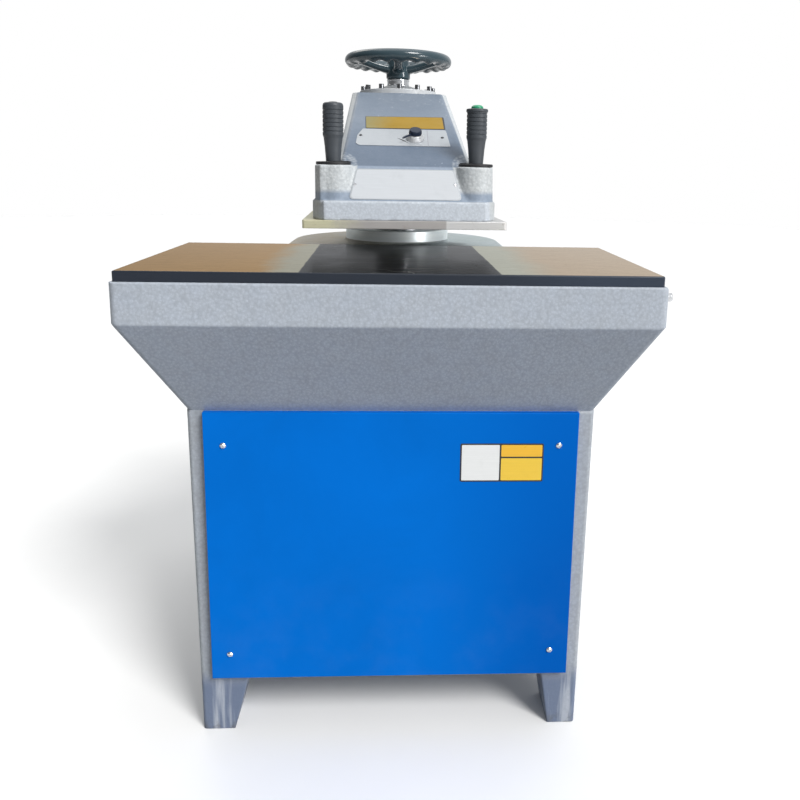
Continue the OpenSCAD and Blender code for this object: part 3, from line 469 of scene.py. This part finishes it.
# ---------------------------------------------------------------- mesh helpers
def fillet(pts, r, seg=4, closed=True):
    """A polyline with its corners rounded; r is one radius or one per corner."""
    out, n = [], len(pts)
    for i, p in enumerate(pts):
        rad = r[i] if isinstance(r, (list, tuple)) else r
        if rad <= 0 or (not closed and i in (0, n - 1)):
            out.append(tuple(p))
            continue
        a, b, c = Vector(pts[i - 1]), Vector(p), Vector(pts[(i + 1) % n])
        u, v = (a - b), (c - b)
        ang = u.angle(v)
        cut = min(rad / math.tan(ang / 2), 0.49 * u.length, 0.49 * v.length)
        rad2 = cut * math.tan(ang / 2)
        u.normalize(); v.normalize()
        mid = (u + v).normalized()
        centre = b + mid * (rad2 / math.sin(ang / 2))
        p0, p1 = b + u * cut, b + v * cut
        d0, d1 = p0 - centre, p1 - centre
        turn = math.atan2(d0.x * d1.y - d0.y * d1.x, d0.dot(d1))
        for k in range(seg + 1):
            t = turn * k / seg
            out.append((centre.x + d0.x * math.cos(t) - d0.y * math.sin(t), centre.y + d0.x * math.sin(t) + d0.y * math.cos(t)))
    return out


def lathe(bm, prof, n=64, ring=False, wave=None):
    """Turns a profile of (r, z) in millimetres about the Z axis. A ring's profile is a closed loop."""
    rows = []
    for k in range(n):
        a = 2 * math.pi * k / n
        row = []
        for r, z in prof:
            row.append((r, z, a))
        rows.append(row)
    verts, poles = [], {}
    for k, row in enumerate(rows):
        vs = []
        for j, (r, z, a) in enumerate(row):
            if r <= 1e-6:
                if j not in poles:
                    poles[j] = bm.verts.new((0, 0, z * MM))
                vs.append(poles[j])
                continue
            if wave:
                r, z = wave(r, z, a)
            vs.append(bm.verts.new((r * math.cos(a) * MM, r * math.sin(a) * MM, z * MM)))
        verts.append(vs)
    m = len(prof)
    for k in range(n):
        a, b = verts[k], verts[(k + 1) % n]
        for j in range(m if ring else m - 1):
            quad = [a[j], b[j], b[(j + 1) % m], a[(j + 1) % m]]
            quad = [v for i, v in enumerate(quad) if v not in quad[:i]]
            if len(quad) > 2:
                bm.faces.new(quad)


def slab(bm, pts, z0, z1, mat=0, top_mat=None, bevel=0.0, seg=2):
    """A flat plate of any outline, in millimetres, with a rounded upper rim."""
    cx, cy = sum(p[0] for p in pts) / len(pts), sum(p[1] for p in pts) / len(pts)
    levels = [(0.0, z0), (0.0, z1 - bevel)]
    for k in range(1, seg + 1):
        t = k / seg * math.pi / 2
        levels.append((bevel * (1 - math.cos(t)), z1 - bevel + bevel * math.sin(t)))
    if not bevel:
        levels = levels[:2]
    rings = []
    n = len(pts)
    for inset, z in levels:
        ring = []
        for i, p in enumerate(pts):
            a, b, c = Vector(pts[i - 1]), Vector(p), Vector(pts[(i + 1) % n])
            t = ((b - a).normalized() + (c - b).normalized())
            t = t.normalized() if t.length > 1e-9 else (c - b).normalized()
            nrm = Vector((t.y, -t.x))
            if nrm.dot(b - Vector((cx, cy))) < 0:
                nrm = -nrm
            q = b - nrm * inset
            ring.append(bm.verts.new((q.x * MM, q.y * MM, z * MM)))
        rings.append(ring)
    for r0, r1 in zip(rings, rings[1:]):
        for i in range(n):
            f = bm.faces.new((r0[i], r0[(i + 1) % n], r1[(i + 1) % n], r1[i]))
            f.material_index = mat
    f = bm.faces.new(rings[-1]); f.material_index = mat if top_mat is None else top_mat
    f = bm.faces.new(list(reversed(rings[0]))); f.material_index = mat


def clean(bm):
    bmesh.ops.recalc_face_normals(bm, faces=bm.faces[:])


def make(name, bm, body, mats, replaces=(), at=None, sharp=38.0):
    """A new piece from a bmesh, placed, shaded, and riding on its body."""
    clean(bm)
    if at is not None:
        bmesh.ops.transform(bm, matrix=at, verts=bm.verts[:])
    me = bpy.data.meshes.new(name)
    bm.to_mesh(me)
    bm.free()
    return wrap(name, me, body, mats, replaces, sharp)


def wrap(name, me, body, mats, replaces=(), sharp=38.0):
    ob = bpy.data.objects.new(name, me)
    scene.collection.objects.link(ob)
    for m in mats if isinstance(mats, (list, tuple)) else [mats]:
        me.materials.append(MATS[m])
    me.shade_smooth()
    if sharp:
        me.set_sharp_from_angle(angle=math.radians(sharp))
        even = ob.modifiers.new("even", "WEIGHTED_NORMAL")
        even.keep_sharp = True
        even.weight = 90
    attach(ob, body)
    if replaces:
        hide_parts(*replaces)
    return ob


def cad_bm(*nodes):
    """The CAD solid's mesh with its flat faces joined up, for a new piece that takes its place."""
    bm = bmesh.new()
    for n in nodes:
        bm.from_mesh(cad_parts[n].data)
    bmesh.ops.remove_doubles(bm, verts=bm.verts[:], dist=3e-6)
    bmesh.ops.dissolve_limit(bm, angle_limit=math.radians(0.6), use_dissolve_boundaries=False, verts=bm.verts[:], edges=bm.edges[:])
    clean(bm)
    return bm


def evaluated(bm, *mods):
    """Runs a mesh through modifiers, given as (type, settings), and returns the result."""
    me = bpy.data.meshes.new("work")
    bm.to_mesh(me)
    bm.free()
    ob = bpy.data.objects.new("work", me)
    scene.collection.objects.link(ob)
    for kind, settings in mods:
        m = ob.modifiers.new(kind, kind)
        for k, v in settings.items():
            setattr(m, k, v)
    dg = bpy.context.evaluated_depsgraph_get()
    out = bpy.data.meshes.new_from_object(ob.evaluated_get(dg))
    bpy.data.objects.remove(ob)
    bpy.data.meshes.remove(me)
    return out


def rounded(bm, width, weight, seg=3):
    """Bevels a mesh's edges: weight(edge, a, b) gives each edge's share of the width, with ends a and b in millimetres."""
    layer = bm.edges.layers.float.get("bevel_weight_edge") or bm.edges.layers.float.new("bevel_weight_edge")
    for e in bm.edges:
        e[layer] = 0.0
        if len(e.link_faces) == 2 and abs(e.calc_face_angle(0.0)) > math.radians(9):
            w = weight(e, e.verts[0].co * 1000, e.verts[1].co * 1000)
            e[layer] = w or 0.0
    return evaluated(bm, ("BEVEL", {"width": width * MM, "segments": seg, "limit_method": "WEIGHT", "use_clamp_overlap": False,
                                    "miter_outer": "MITER_SHARP", "loop_slide": True}))


def both(a, b, test):
    return test(a) and test(b)


# ---------------------------------------------------------------- castings of the base
def pedestal_weight(e, a, b):
    out = lambda p: p.y < -313.5 or p.y > 395.5 or abs(p.x) > 350
    if not both(a, b, out):
        return 0
    if both(a, b, lambda p: p.z > 634) or both(a, b, lambda p: p.z < 0.5):
        return 0.18 if both(a, b, lambda p: p.z < 0.5) else 0
    if abs(a.x) > 350 and abs(b.x) > 350 and abs(a.z - b.z) > 20 and abs(a.y - b.y) < 1 and (a.y < -313 or a.y > 395):
        return 1.0
    inner = lambda p: p.z < 106
    if both(a, b, inner):
        return 0.5
    return 0


wrap("pedestal_shell", rounded(cad_bm("pedestal"), 8.0, pedestal_weight, 4), "base", "pedestal", ["pedestal"])


def table_weight(e, a, b):
    if both(a, b, lambda p: p.z < 636) or both(a, b, lambda p: p.y > 33.5):
        return 0
    corner = lambda p: abs(p.x) > 361 and p.y < -313
    outside = lambda p: abs(p.x) > 361 or p.y < -313 or p.z > 873.5
    if not both(a, b, outside):
        return 0
    if abs(a.z - b.z) > 20 and both(a, b, corner):
        return 1.0
    if both(a, b, lambda p: 805 < p.z < 807):
        return 0.25
    if both(a, b, lambda p: p.z > 873.5):
        return 0.3
    return 0


wrap("table_casting_shell", rounded(cad_bm("table_casting"), 12.0, table_weight, 5), "base", "table_casting", ["table_casting"])


def shoulder_weight(e, a, b):
    if both(a, b, lambda p: p.z < 636) or both(a, b, lambda p: p.y < 35) or both(a, b, lambda p: p.z > 759.5):
        return 0
    if both(a, b, lambda p: p.y > 395.5):
        return 1.0
    if both(a, b, lambda p: abs(p.x) > 363 and p.z > 685):
        return 1.0
    return 0


wrap("rear_shoulder_shell", rounded(cad_bm("rear_shoulder"), 7.0, shoulder_weight, 4), "base", "casting", ["rear_shoulder"])


def housing_weight(e, a, b):
    d = lambda p: math.hypot(p.x, p.y - AXIS_Y)
    if both(a, b, lambda p: p.z > 921.5 and d(p) > 100):
        return 0.5
    if both(a, b, lambda p: 892 < p.z < 893.6 and d(p) > 140):
        return 1.0
    if both(a, b, lambda p: abs(p.x) > 235 and p.y < 35):
        return 1.0
    return 0


def column_housing():
    me = rounded(cad_bm("column_housing"), 5.0, housing_weight, 4)
    wrap("column_housing_shell", me, "base", ["housing", "collar"], ["column_housing"], sharp=32.0)
    for poly in me.polygons:
        c = poly.center
        poly.material_index = 1 if c.z > 0.8975 and math.hypot(c.x, c.y - AXIS_Y * MM) < 0.1215 else 0


column_housing()


# ---------------------------------------------------------------- table plate and press plate
def table_plate():
    me = rounded(cad_bm("table_plate"), 3.0, lambda e, a, b: 0.35 if both(a, b, lambda p: p.z < 877) else 1.0, 5)
    ob = wrap("table_plate_body", me, "base", ["table_edge", "table_top"], ["table_plate"])
    for poly in me.polygons:
        poly.material_index = 1 if poly.normal.z > 0.98 else 0
    return ob


table_plate()


def press_plate():
    me = rounded(cad_bm("press_plate"), 5.0, lambda e, a, b: 0.3 if e.calc_length() > 0.2 else 1.0 if abs(a.z - b.z) > 14 and max(abs(a.x), abs(b.x)) > 150 else 0.0, 4)
    ob = wrap("press_plate_body", me, "arm", ["press", "press_under"], ["press_plate"])
    for poly in me.polygons:
        # downward faces take the near-black painted shade
        poly.material_index = 1 if poly.normal.z < -0.9 else 0
    return ob


press_plate()


# ---------------------------------------------------------------- panels
def sheet_weight(e, a, b):
    return 1.0 if e.calc_length() > 0.1 and both(a, b, lambda p: p.y < -313.5 or p.y > 395.9) else 0.0


wrap("front_panel_sheet", rounded(cad_bm("front_panel"), 1.6, sheet_weight, 4), "base", "blue", ["front_panel"])
wrap("rear_panel_sheet", rounded(cad_bm("rear_panel"), 1.6, sheet_weight, 4), "base", "blue", ["rear_panel"])


def panel_plate():
    """A blank two-field plate: a pale field, a yellow field, and a thin dark frame between them."""
    bm = bmesh.new()
    at = Matrix.Translation((0, PANEL_Y * MM, 0)) @ Matrix.Rotation(math.radians(90), 4, "X")
    slab(bm, fillet([(120.4, 506.4), (270.6, 506.4), (270.6, 578.6), (120.4, 578.6)], 3.0, 4), 0.0, 0.5, mat=0, bevel=0.2)
    for x0, x1, z0, z1, mat in ((123, 191, 509, 576, 1), (194, 268, 509, 551, 2), (194, 268, 554, 576, 3)):
        slab(bm, fillet([(x0, z0), (x1, z0), (x1, z1), (x0, z1)], 1.5, 3), 0.42, 0.74, mat=mat, bevel=0.15)
    make("panel_plate_blank", bm, "base", ["ink", "pale", "amber", "amber_deep"], ["panel_plate"], at)


panel_plate()


# ---------------------------------------------------------------- arm casting
def arm_casting():
    bm = bmesh.new()
    bm.from_mesh(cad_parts["arm_casting"].data)
    bmesh.ops.remove_doubles(bm, verts=bm.verts[:], dist=3e-6)
    me = evaluated(bm, ("REMESH", {"mode": "VOXEL", "voxel_size": 0.0021, "adaptivity": 0.0}),
                   ("SMOOTH", {"factor": 0.5, "iterations": 4}))
    wrap("arm_casting_shell", me, "arm", "arm", ["arm_casting"], sharp=None)


arm_casting()


def top_cap():
    bm = bmesh.new()
    prof = fillet([(20.2, 1203), (59.8, 1203), (59.8, 1216), (86, 1216), (86, 1227), (69, 1227), (30, 1238), (20.2, 1238)], [0, 1, 0, 1.5, 2.5, 10, 2, 1], 5)
    lathe(bm, prof, 96, ring=True)
    make("top_cap_cover", bm, "arm", "cap", ["top_cap"], ARM, sharp=50)


top_cap()


# ---------------------------------------------------------------- plates on the arm
def nameplate():
    bm = bmesh.new()
    outline = fillet([(-102.6, 0.4), (102.6, 0.4), (89.6, 60.1), (-89.6, 60.1)], 6.0, 5)
    slab(bm, outline, 0.02, 0.9, mat=0, bevel=0.3)
    inner = fillet([(-99.6, 2.2), (99.6, 2.2), (87.4, 58.2), (-87.4, 58.2)], 5.0, 5)
    slab(bm, inner, 0.85, 1.0, mat=1, bevel=0.1)
    make("nameplate_blank", bm, "arm", ["alu", "white"], ["nameplate"], on_face(0, 3))


def control_plate():
    bm = bmesh.new()
    outline = fillet([(-85, 0.3), (88.5, 0.3), (89.7, 3.2), (85.7, 65.7), (-77.8, 65.7), (-88.7, 39), (-91.2, 7)], [6, 2, 2, 4, 3, 9, 5], 5)
    slab(bm, outline, 0.02, 1.2, mat=0, bevel=0.35)
    make("control_plate_blank", bm, "arm", "alu", ["control_plate"], on_slope(0, 68.5))
    bm = bmesh.new()
    slab(bm, fillet([(46.4, 2), (47.6, 2), (48.8, 64), (47.6, 64)], 0.3, 2), 1.15, 1.35, bevel=0.1)
    make("control_plate_seam", bm, "arm", "seam", (), on_slope(0, 68.5))
    bm = bmesh.new()
    slab(bm, fillet([(-13.5, 31.0), (-3.6, 21.6), (9.6, 10.0), (9.0, 12.2), (-2.0, 24.4)], 0.4, 3), 1.15, 1.36, bevel=0.1)
    make("control_plate_mark", bm, "arm", "ink", (), on_slope(0, 68.5))


def label_strip():
    bm = bmesh.new()
    slab(bm, fillet([(-72.5, 0.3), (85.5, 1.9), (85.5, 53.7), (-73.1, 50.3)], 2.5, 4), 0.02, 0.55, mat=0, bevel=0.2)
    slab(bm, fillet([(-71.4, 1.6), (82.6, 3.1), (82.2, 52.2), (-72.0, 48.9)], 2.0, 4), 0.5, 0.8, mat=1, bevel=0.12)
    make("label_strip_blank", bm, "arm", ["ink", "yellow"], ["label_strip"], on_slope(0, 136.6))


nameplate()
control_plate()
label_strip()


# ---------------------------------------------------------------- grips, flanges and buttons
def grip_profile(domed):
    """Grip sleeve: slim foot, six shallow ribs, and a domed top or a lip."""
    z0 = 1070.05
    pts = [(8.1, z0), (13.4, z0), (13.4, z0 + 2.5), (15.2, z0 + 26), (17.0, z0 + 41), (18.2, z0 + 45.5)]
    radii = [0, 0.6, 3, 30, 14, 3]
    for i in range(6):
        z = z0 + 46.4 + 7.4 * i
        pts += [(18.7, z), (18.7, z + 5.2), (17.7, z + 6.0), (17.7, z + 6.6)]
        radii += [0.5, 0.5, 0.25, 0.25]
    if domed:
        pts += [(18.7, z0 + 91.5), (18.6, z0 + 98.4), (17.4, z0 + 102.0), (14.8, z0 + 103.6), (11.4, z0 + 103.9)]
        radii += [0.6, 3, 2.5, 3, 0.5]
    else:
        pts += [(18.6, z0 + 90.8), (18.6, z0 + 92.6), (20.0, z0 + 93.6), (20.0, z0 + 97.4), (18.4, z0 + 98.9), (11.4, z0 + 98.9)]
        radii += [0.5, 0.5, 0.8, 1.6, 1.2, 0.6]
    pts += [(11.4, z0 + 84), (8.1, z0 + 84)]
    return fillet(pts, radii + [0, 0], 3)


def grips():
    for side, x in (("left", -GRIP_X), ("right", GRIP_X)):
        bm = bmesh.new()
        lathe(bm, grip_profile(side == "left"), 72, ring=True)
        make("grip_%s_sleeve" % side, bm, "arm", "grip", ["grip_" + side], ARM @ Matrix.Translation((x * MM, GRIP_Y * MM, 0)), sharp=60)
    bm = bmesh.new()
    for x in (-GRIP_X, GRIP_X):
        part = bmesh.new()
        prof = fillet([(8.1, 1064.05), (31.4, 1064.05), (31.4, 1069.4), (16.5, 1070.0), (8.1, 1070.0)], [0, 0.8, 1.8, 2, 0], 4)
        lathe(part, prof, 72, ring=True)
        bmesh.ops.translate(part, verts=part.verts[:], vec=(x * MM, GRIP_Y * MM, 0))
        me = bpy.data.meshes.new("part")
        part.to_mesh(me); part.free()
        bm.from_mesh(me)
        bpy.data.meshes.remove(me)
    make("grip_flange_pair", bm, "arm", "gasket", ["grip_flanges"], ARM, sharp=50)


grips()


def buttons():
    for side, x, z0, top, r1, mat, slot in (("left", -GRIP_X, 1162.0, 1175.6, 7.5, "plastic", "black_plastic"), ("right", GRIP_X, 1160.0, 1176.0, 7.5, "green", "green_button")):
        bm = bmesh.new()
        prof = fillet([(0, 1124), (4, 1124), (4, z0), (11, z0), (11, top - 3.4), (r1, top - 0.4), (3, top), (0, top)], [0, 0.5, 0.5, 0.5, 2.5, 5, 6, 0], 5, closed=False)
        lathe(bm, prof, 56)
        make("button_%s_cap" % side, bm, "button_" + side, mat, ["button_" + side], ARM @ Matrix.Translation((x * MM, GRIP_Y * MM, 0)), sharp=45)


buttons()


# ---------------------------------------------------------------- selector
def selector():
    bm = bmesh.new()
    prof = [(5.1, -33.5), (11, -33.5), (11, 1.3), (18.4, 1.3), (18.4, 2.4), (17.6, 3.4), (17.6, 4.2), (14.6, 8.2), (13.6, 10.8), (5.1, 10.8)]
    lathe(bm, fillet(prof, [0, 0.5, 0, 0.4, 0.4, 0.3, 0.5, 1.5, 0.8, 0], 4), 72, ring=True)
    make("selector_bezel", bm, "arm", "bezel", ["selector_switch"], on_slope(23, 99), sharp=45)
    bm = bmesh.new()

    def flute(r, z, a):
        return (r - (0.4 * (0.5 + 0.5 * math.cos(24 * a)) ** 2 if r > 10.5 and 12.6 < z < 17.6 else 0.0), z)

    lathe(bm, fillet([(0, -18), (5, -18), (5, 11.25), (12.6, 11.25), (12.8, 12.4), (12.6, 13.2), (12.2, 17.2), (11.4, 19.6), (8.5, 20.1), (0, 19.7)],
                     [0, 0.4, 0.4, 0.6, 0.5, 0.5, 0.8, 2.0, 1.5, 0], 5, closed=False), 144, wave=flute)
    bar = bmesh.new()
    slab(bar, fillet([(-1.7, 1.0), (1.7, 1.0), (1.6, 31.0), (0.0, 36.8), (-1.6, 31.0)], [1, 1, 2, 1, 2], 4), 12.25, 15.15, bevel=1.0, seg=4)
    bmesh.ops.rotate(bar, verts=bar.verts[:], cent=(0, 0, 0), matrix=Matrix.Rotation(math.radians(132), 3, "Z"))
    me = bpy.data.meshes.new("part")
    bar.to_mesh(me); bar.free()
    bm.from_mesh(me)
    bpy.data.meshes.remove(me)
    make("selector_knob", bm, "control_knob", "knob", ["control_knob"], on_slope(23, 99), sharp=45)


selector()


# ---------------------------------------------------------------- handwheel
def handwheel():
    rim_r, tube, zc, waves = 105.0, 14.0, 1292.5, 21
    bm = bmesh.new()

    def wave(r, z, a):
        dx, dz = r - rim_r, z - zc
        under = max(0.0, -dz / tube)
        gap = 1.0 - (0.5 + 0.5 * math.cos(waves * a)) ** 1.6
        return rim_r + dx * (1.0 - 0.05 * under * gap), zc + dz * (1.0 - 0.27 * under ** 1.6 * gap)

    lathe(bm, [(rim_r + tube * math.cos(t), zc + tube * math.sin(t)) for t in [2 * math.pi * j / 36 for j in range(36)]], 504, ring=True, wave=wave)
    lathe(bm, fillet([(14.1, 1253), (23.5, 1253), (26.6, 1256), (26.8, 1280), (24.0, 1294), (20.5, 1298), (14.1, 1298)], [0, 1, 3, 4, 3, 1.5, 0], 4), 96, ring=True)
    for i in range(5):
        a = math.radians(-90 + 72 * i)
        rings = []
        for k in range(15):
            t = k / 14
            r = 19.0 + (103.0 - 19.0) * t
            zz = 1275.5 + (1290.5 - 1275.5) * (t * t * (3 - 2 * t))
            w = 13.5 - 4.0 * math.sin(math.pi * min(1.0, t * 0.9)) + 3.5 * t ** 4
            h = 9.4 - 1.9 * t
            ring = []
            for j in range(20):
                b = 2 * math.pi * j / 20
                cw, ch = math.cos(b), math.sin(b)
                cw, ch = math.copysign(abs(cw) ** 0.8, cw), math.copysign(abs(ch) ** 0.8, ch)
                x, y, z = r, w * cw, zz + h * ch
                ring.append(bm.verts.new(((x * math.cos(a) - y * math.sin(a)) * MM, (x * math.sin(a) + y * math.cos(a)) * MM, z * MM)))
            rings.append(ring)
        for r0, r1 in zip(rings, rings[1:]):
            for j in range(20):
                bm.faces.new((r0[j], r0[(j + 1) % 20], r1[(j + 1) % 20], r1[j]))
        bm.faces.new(rings[0]); bm.faces.new(list(reversed(rings[-1])))
    clean(bm)
    me = evaluated(bm, ("REMESH", {"mode": "VOXEL", "voxel_size": 0.00135, "adaptivity": 0.0}), ("SMOOTH", {"factor": 0.5, "iterations": 5}))
    me.transform(AXIS)
    wrap("handwheel_body", me, "handwheel", "bakelite", ["handwheel"], sharp=None)
    bm = bmesh.new()
    lathe(bm, fillet([(14.1, 1238.5), (25.4, 1238.5), (25.4, 1241.2), (24.5, 1241.9), (24.5, 1249.2), (25.4, 1249.9), (25.4, 1252.9), (14.1, 1252.9)],
                     [0, 0.8, 0.4, 0.3, 0.3, 0.4, 0.8, 0], 3), 72, ring=True)
    make("thrust_collar_ring", bm, "handwheel", "chrome", ["thrust_collar"], AXIS, sharp=50)


handwheel()


# ---------------------------------------------------------------- return spring
def return_spring():
    """The coil under the piston, with closed end turns."""
    turns, r, wire, z0, z1, per, sides = 6, 50.0, 6.5, 344.2, 499.8, 48, 14
    bm = bmesh.new()
    rings = []
    for i in range(turns * per + 1):
        u = i / per
        a = 2 * math.pi * u
        rise = z0 + wire + (z1 - z0 - 2 * wire) * min(1.0, max(0.0, (u - 0.75) / (turns - 1.5)))
        ring = []
        for j in range(sides):
            b = 2 * math.pi * j / sides
            d = r + wire * math.cos(b)
            ring.append(bm.verts.new((d * math.cos(a) * MM, d * math.sin(a) * MM, (rise + wire * math.sin(b)) * MM)))
        rings.append(ring)
    for r0, r1 in zip(rings, rings[1:]):
        for j in range(sides):
            bm.faces.new((r0[j], r0[(j + 1) % sides], r1[(j + 1) % sides], r1[j]))
    bm.faces.new(rings[0])
    bm.faces.new(list(reversed(rings[-1])))
    clean(bm)
    ob = make("return_spring_coil", bm, "base", "spring", ["return_spring"], AXIS, sharp=40)
    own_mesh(ob)


return_spring()

# ---------------------------------------------------------------- fasteners and small hardware, edges broken
def small(name, node, body, mat, width, limit=30.0):
    """A CAD solid with its sharp edges broken by a small chamfer."""
    me = rounded(cad_bm(node), width, lambda e, a, b: 1.0 if e.calc_face_angle(0.0) > math.radians(limit) and e.calc_length() > 0.0006 else 0.0, 2)
    return wrap(name, me, body, mat, [node], sharp=32)


small("wheel_nut_hex", "wheel_nut", "handwheel", "zinc", 0.5)
small("side_bolt_set", "side_bolts", "base", "zinc", 0.4)
small("cable_gland_body", "cable_gland", "base", "plastic", 0.5)

# ---------------------------------------------------------------- finishes of the carried-over CAD solids
FINISH = {
    "front_panel_screws": "zinc", "rear_panel_screws": "zinc", "column_bush_upper": "bronze", "column_bush_lower": "bronze", "gland_ring": "zinc",
    "cylinder_barrel": "dark_paint", "cylinder_base": "dark_paint", "cylinder_bolts": "black_oxide", "oil_tank": "dark_paint",
    "tank_lid": "dark_paint", "filler_cap": "plastic", "motor": "motor_paint", "pump": "zinc", "valve_block": "machined", "solenoid": "plastic",
    "pressure_pipe": "zinc", "electrical_box": "box_paint", "electrical_box_lid": "box_paint", "column": "column", "piston": "machined",
    "piston_nut": "zinc", "lead_nut": "bronze", "thrust_ring": "machined", "swivel_sleeve": "bronze", "feather_key": "machined",
    "press_plate_screws": "black_oxide", "top_cap_screws": "cap_bolt", "spindle_bush": "bronze", "nameplate_rivets": "zinc",
    "control_plate_screws": "black_oxide", "grip_stems": "zinc", "spindle": "zinc", "motor_shaft": "machined",
}
for node, mat in FINISH.items():
    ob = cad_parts[node]
    ob.data.materials.clear()
    ob.data.materials.append(MATS[mat])

# ---------------------------------------------------------------- stage, light
bm = bmesh.new()
bmesh.ops.create_circle(bm, cap_ends=True, segments=96, radius=14.0)
me = bpy.data.meshes.new("floor")
bm.to_mesh(me)
bm.free()
floor = bpy.data.objects.new("floor", me)
scene.collection.objects.link(floor)
fp = Mat("studio_floor", spec=0.2)
fp.set(base=fp.ramp(fp.noise(2.0, 4.0, 0.6), (0.3, (0.90, 0.90, 0.90)), (0.7, (0.93, 0.93, 0.93))), rough=0.7)
me.materials.append(fp.m)
floor.visible_diffuse = False


def studio():
    """Soft sky: bright overhead and to the right, dimmer to the left and below; plain white behind the object."""
    world = bpy.data.worlds.new("studio")
    scene.world = world
    world.use_nodes = True
    t = world.node_tree
    t.nodes.clear()
    new, link = t.nodes.new, t.links.new

    def ramp(value, a, b, c, d):
        n = new("ShaderNodeMapRange")
        n.interpolation_type = "SMOOTHSTEP"
        link(value, n.inputs[0])
        for i, v in enumerate((a, b, c, d)):
            n.inputs[i + 1].default_value = v
        return n.outputs[0]

    def calc(op, a, b):
        n = new("ShaderNodeMath")
        n.operation = op
        for i, v in enumerate((a, b)):
            if isinstance(v, float):
                n.inputs[i].default_value = v
            else:
                link(v, n.inputs[i])
        return n.outputs[0]

    sep = new("ShaderNodeSeparateXYZ")
    link(new("ShaderNodeTexCoord").outputs["Generated"], sep.inputs[0])
    x, y, z = sep.outputs
    sky = calc("ADD", ramp(x, -0.9, 0.7, SKY_LEFT, SKY_RIGHT), ramp(z, 0.1, 1.0, 0.0, SKY_TOP))
    sky = calc("ADD", sky, ramp(y, 0.2, 0.9, 0.0, SKY_BACK))
    amount = calc("MULTIPLY", sky, ramp(z, -0.12, 0.06, 0.0, 1.0))
    floor_glow = calc("MULTIPLY", ramp(y, -0.6, 0.4, GROUND, GROUND_BACK), ramp(x, -0.8, 0.1, 0.5, 1.0))
    amount = calc("ADD", amount, calc("MULTIPLY", floor_glow, ramp(z, -0.12, 0.06, 1.0, 0.0)))
    soft, plain, out = new("ShaderNodeBackground"), new("ShaderNodeBackground"), new("ShaderNodeOutputWorld")
    soft.inputs[0].default_value = (0.965, 0.985, 1.0, 1.0)
    link(amount, soft.inputs[1])
    plain.inputs[0].default_value = (1.0, 1.0, 1.0, 1.0)
    plain.inputs[1].default_value = 1.0
    mix = new("ShaderNodeMixShader")
    link(new("ShaderNodeLightPath").outputs["Is Camera Ray"], mix.inputs[0])
    link(soft.outputs[0], mix.inputs[1])
    link(plain.outputs[0], mix.inputs[2])
    link(mix.outputs[0], out.inputs[0])


SKY_LEFT, SKY_RIGHT, SKY_TOP, SKY_BACK, GROUND, GROUND_BACK = 0.13, 0.58, 0.25, 0.27, 0.58, 0.24
studio()


def area(name, loc, target, size, power, color=(1, 1, 1)):
    data = bpy.data.lights.new(name, "AREA")
    data.shape = "RECTANGLE"
    data.size, data.size_y = size
    data.energy = power
    data.color = color
    ob = bpy.data.objects.new(name, data)
    scene.collection.objects.link(ob)
    ob.location = loc
    ob.rotation_mode = "QUATERNION"
    ob.rotation_quaternion = (Vector(target) - Vector(loc)).to_track_quat("-Z", "Y")
    return ob


def sun(name, toward, strength, angle, color=(1, 1, 1)):
    data = bpy.data.lights.new(name, "SUN")
    data.energy = strength
    data.angle = math.radians(angle)
    data.color = color
    ob = bpy.data.objects.new(name, data)
    scene.collection.objects.link(ob)
    ob.rotation_mode = "QUATERNION"
    ob.rotation_quaternion = (-Vector(toward)).to_track_quat("-Z", "Y")
    return ob


sun("key", (0.46, -0.58, 0.67), 2.62, 22.0, (1.0, 0.99, 0.975))
area("top", (0.0, 0.3, 3.6), (0, 0, 0.9), (2.4, 2.0), 22)
area("rim", (-1.2, 1.9, 3.4), (0, 0.1, 1.0), (1.2, 1.2), 11, (1.0, 0.95, 0.87))
sun("low", (0.8, -0.6, 0.035), 0.92, 12.0)

scene.view_settings.view_transform = "Standard"
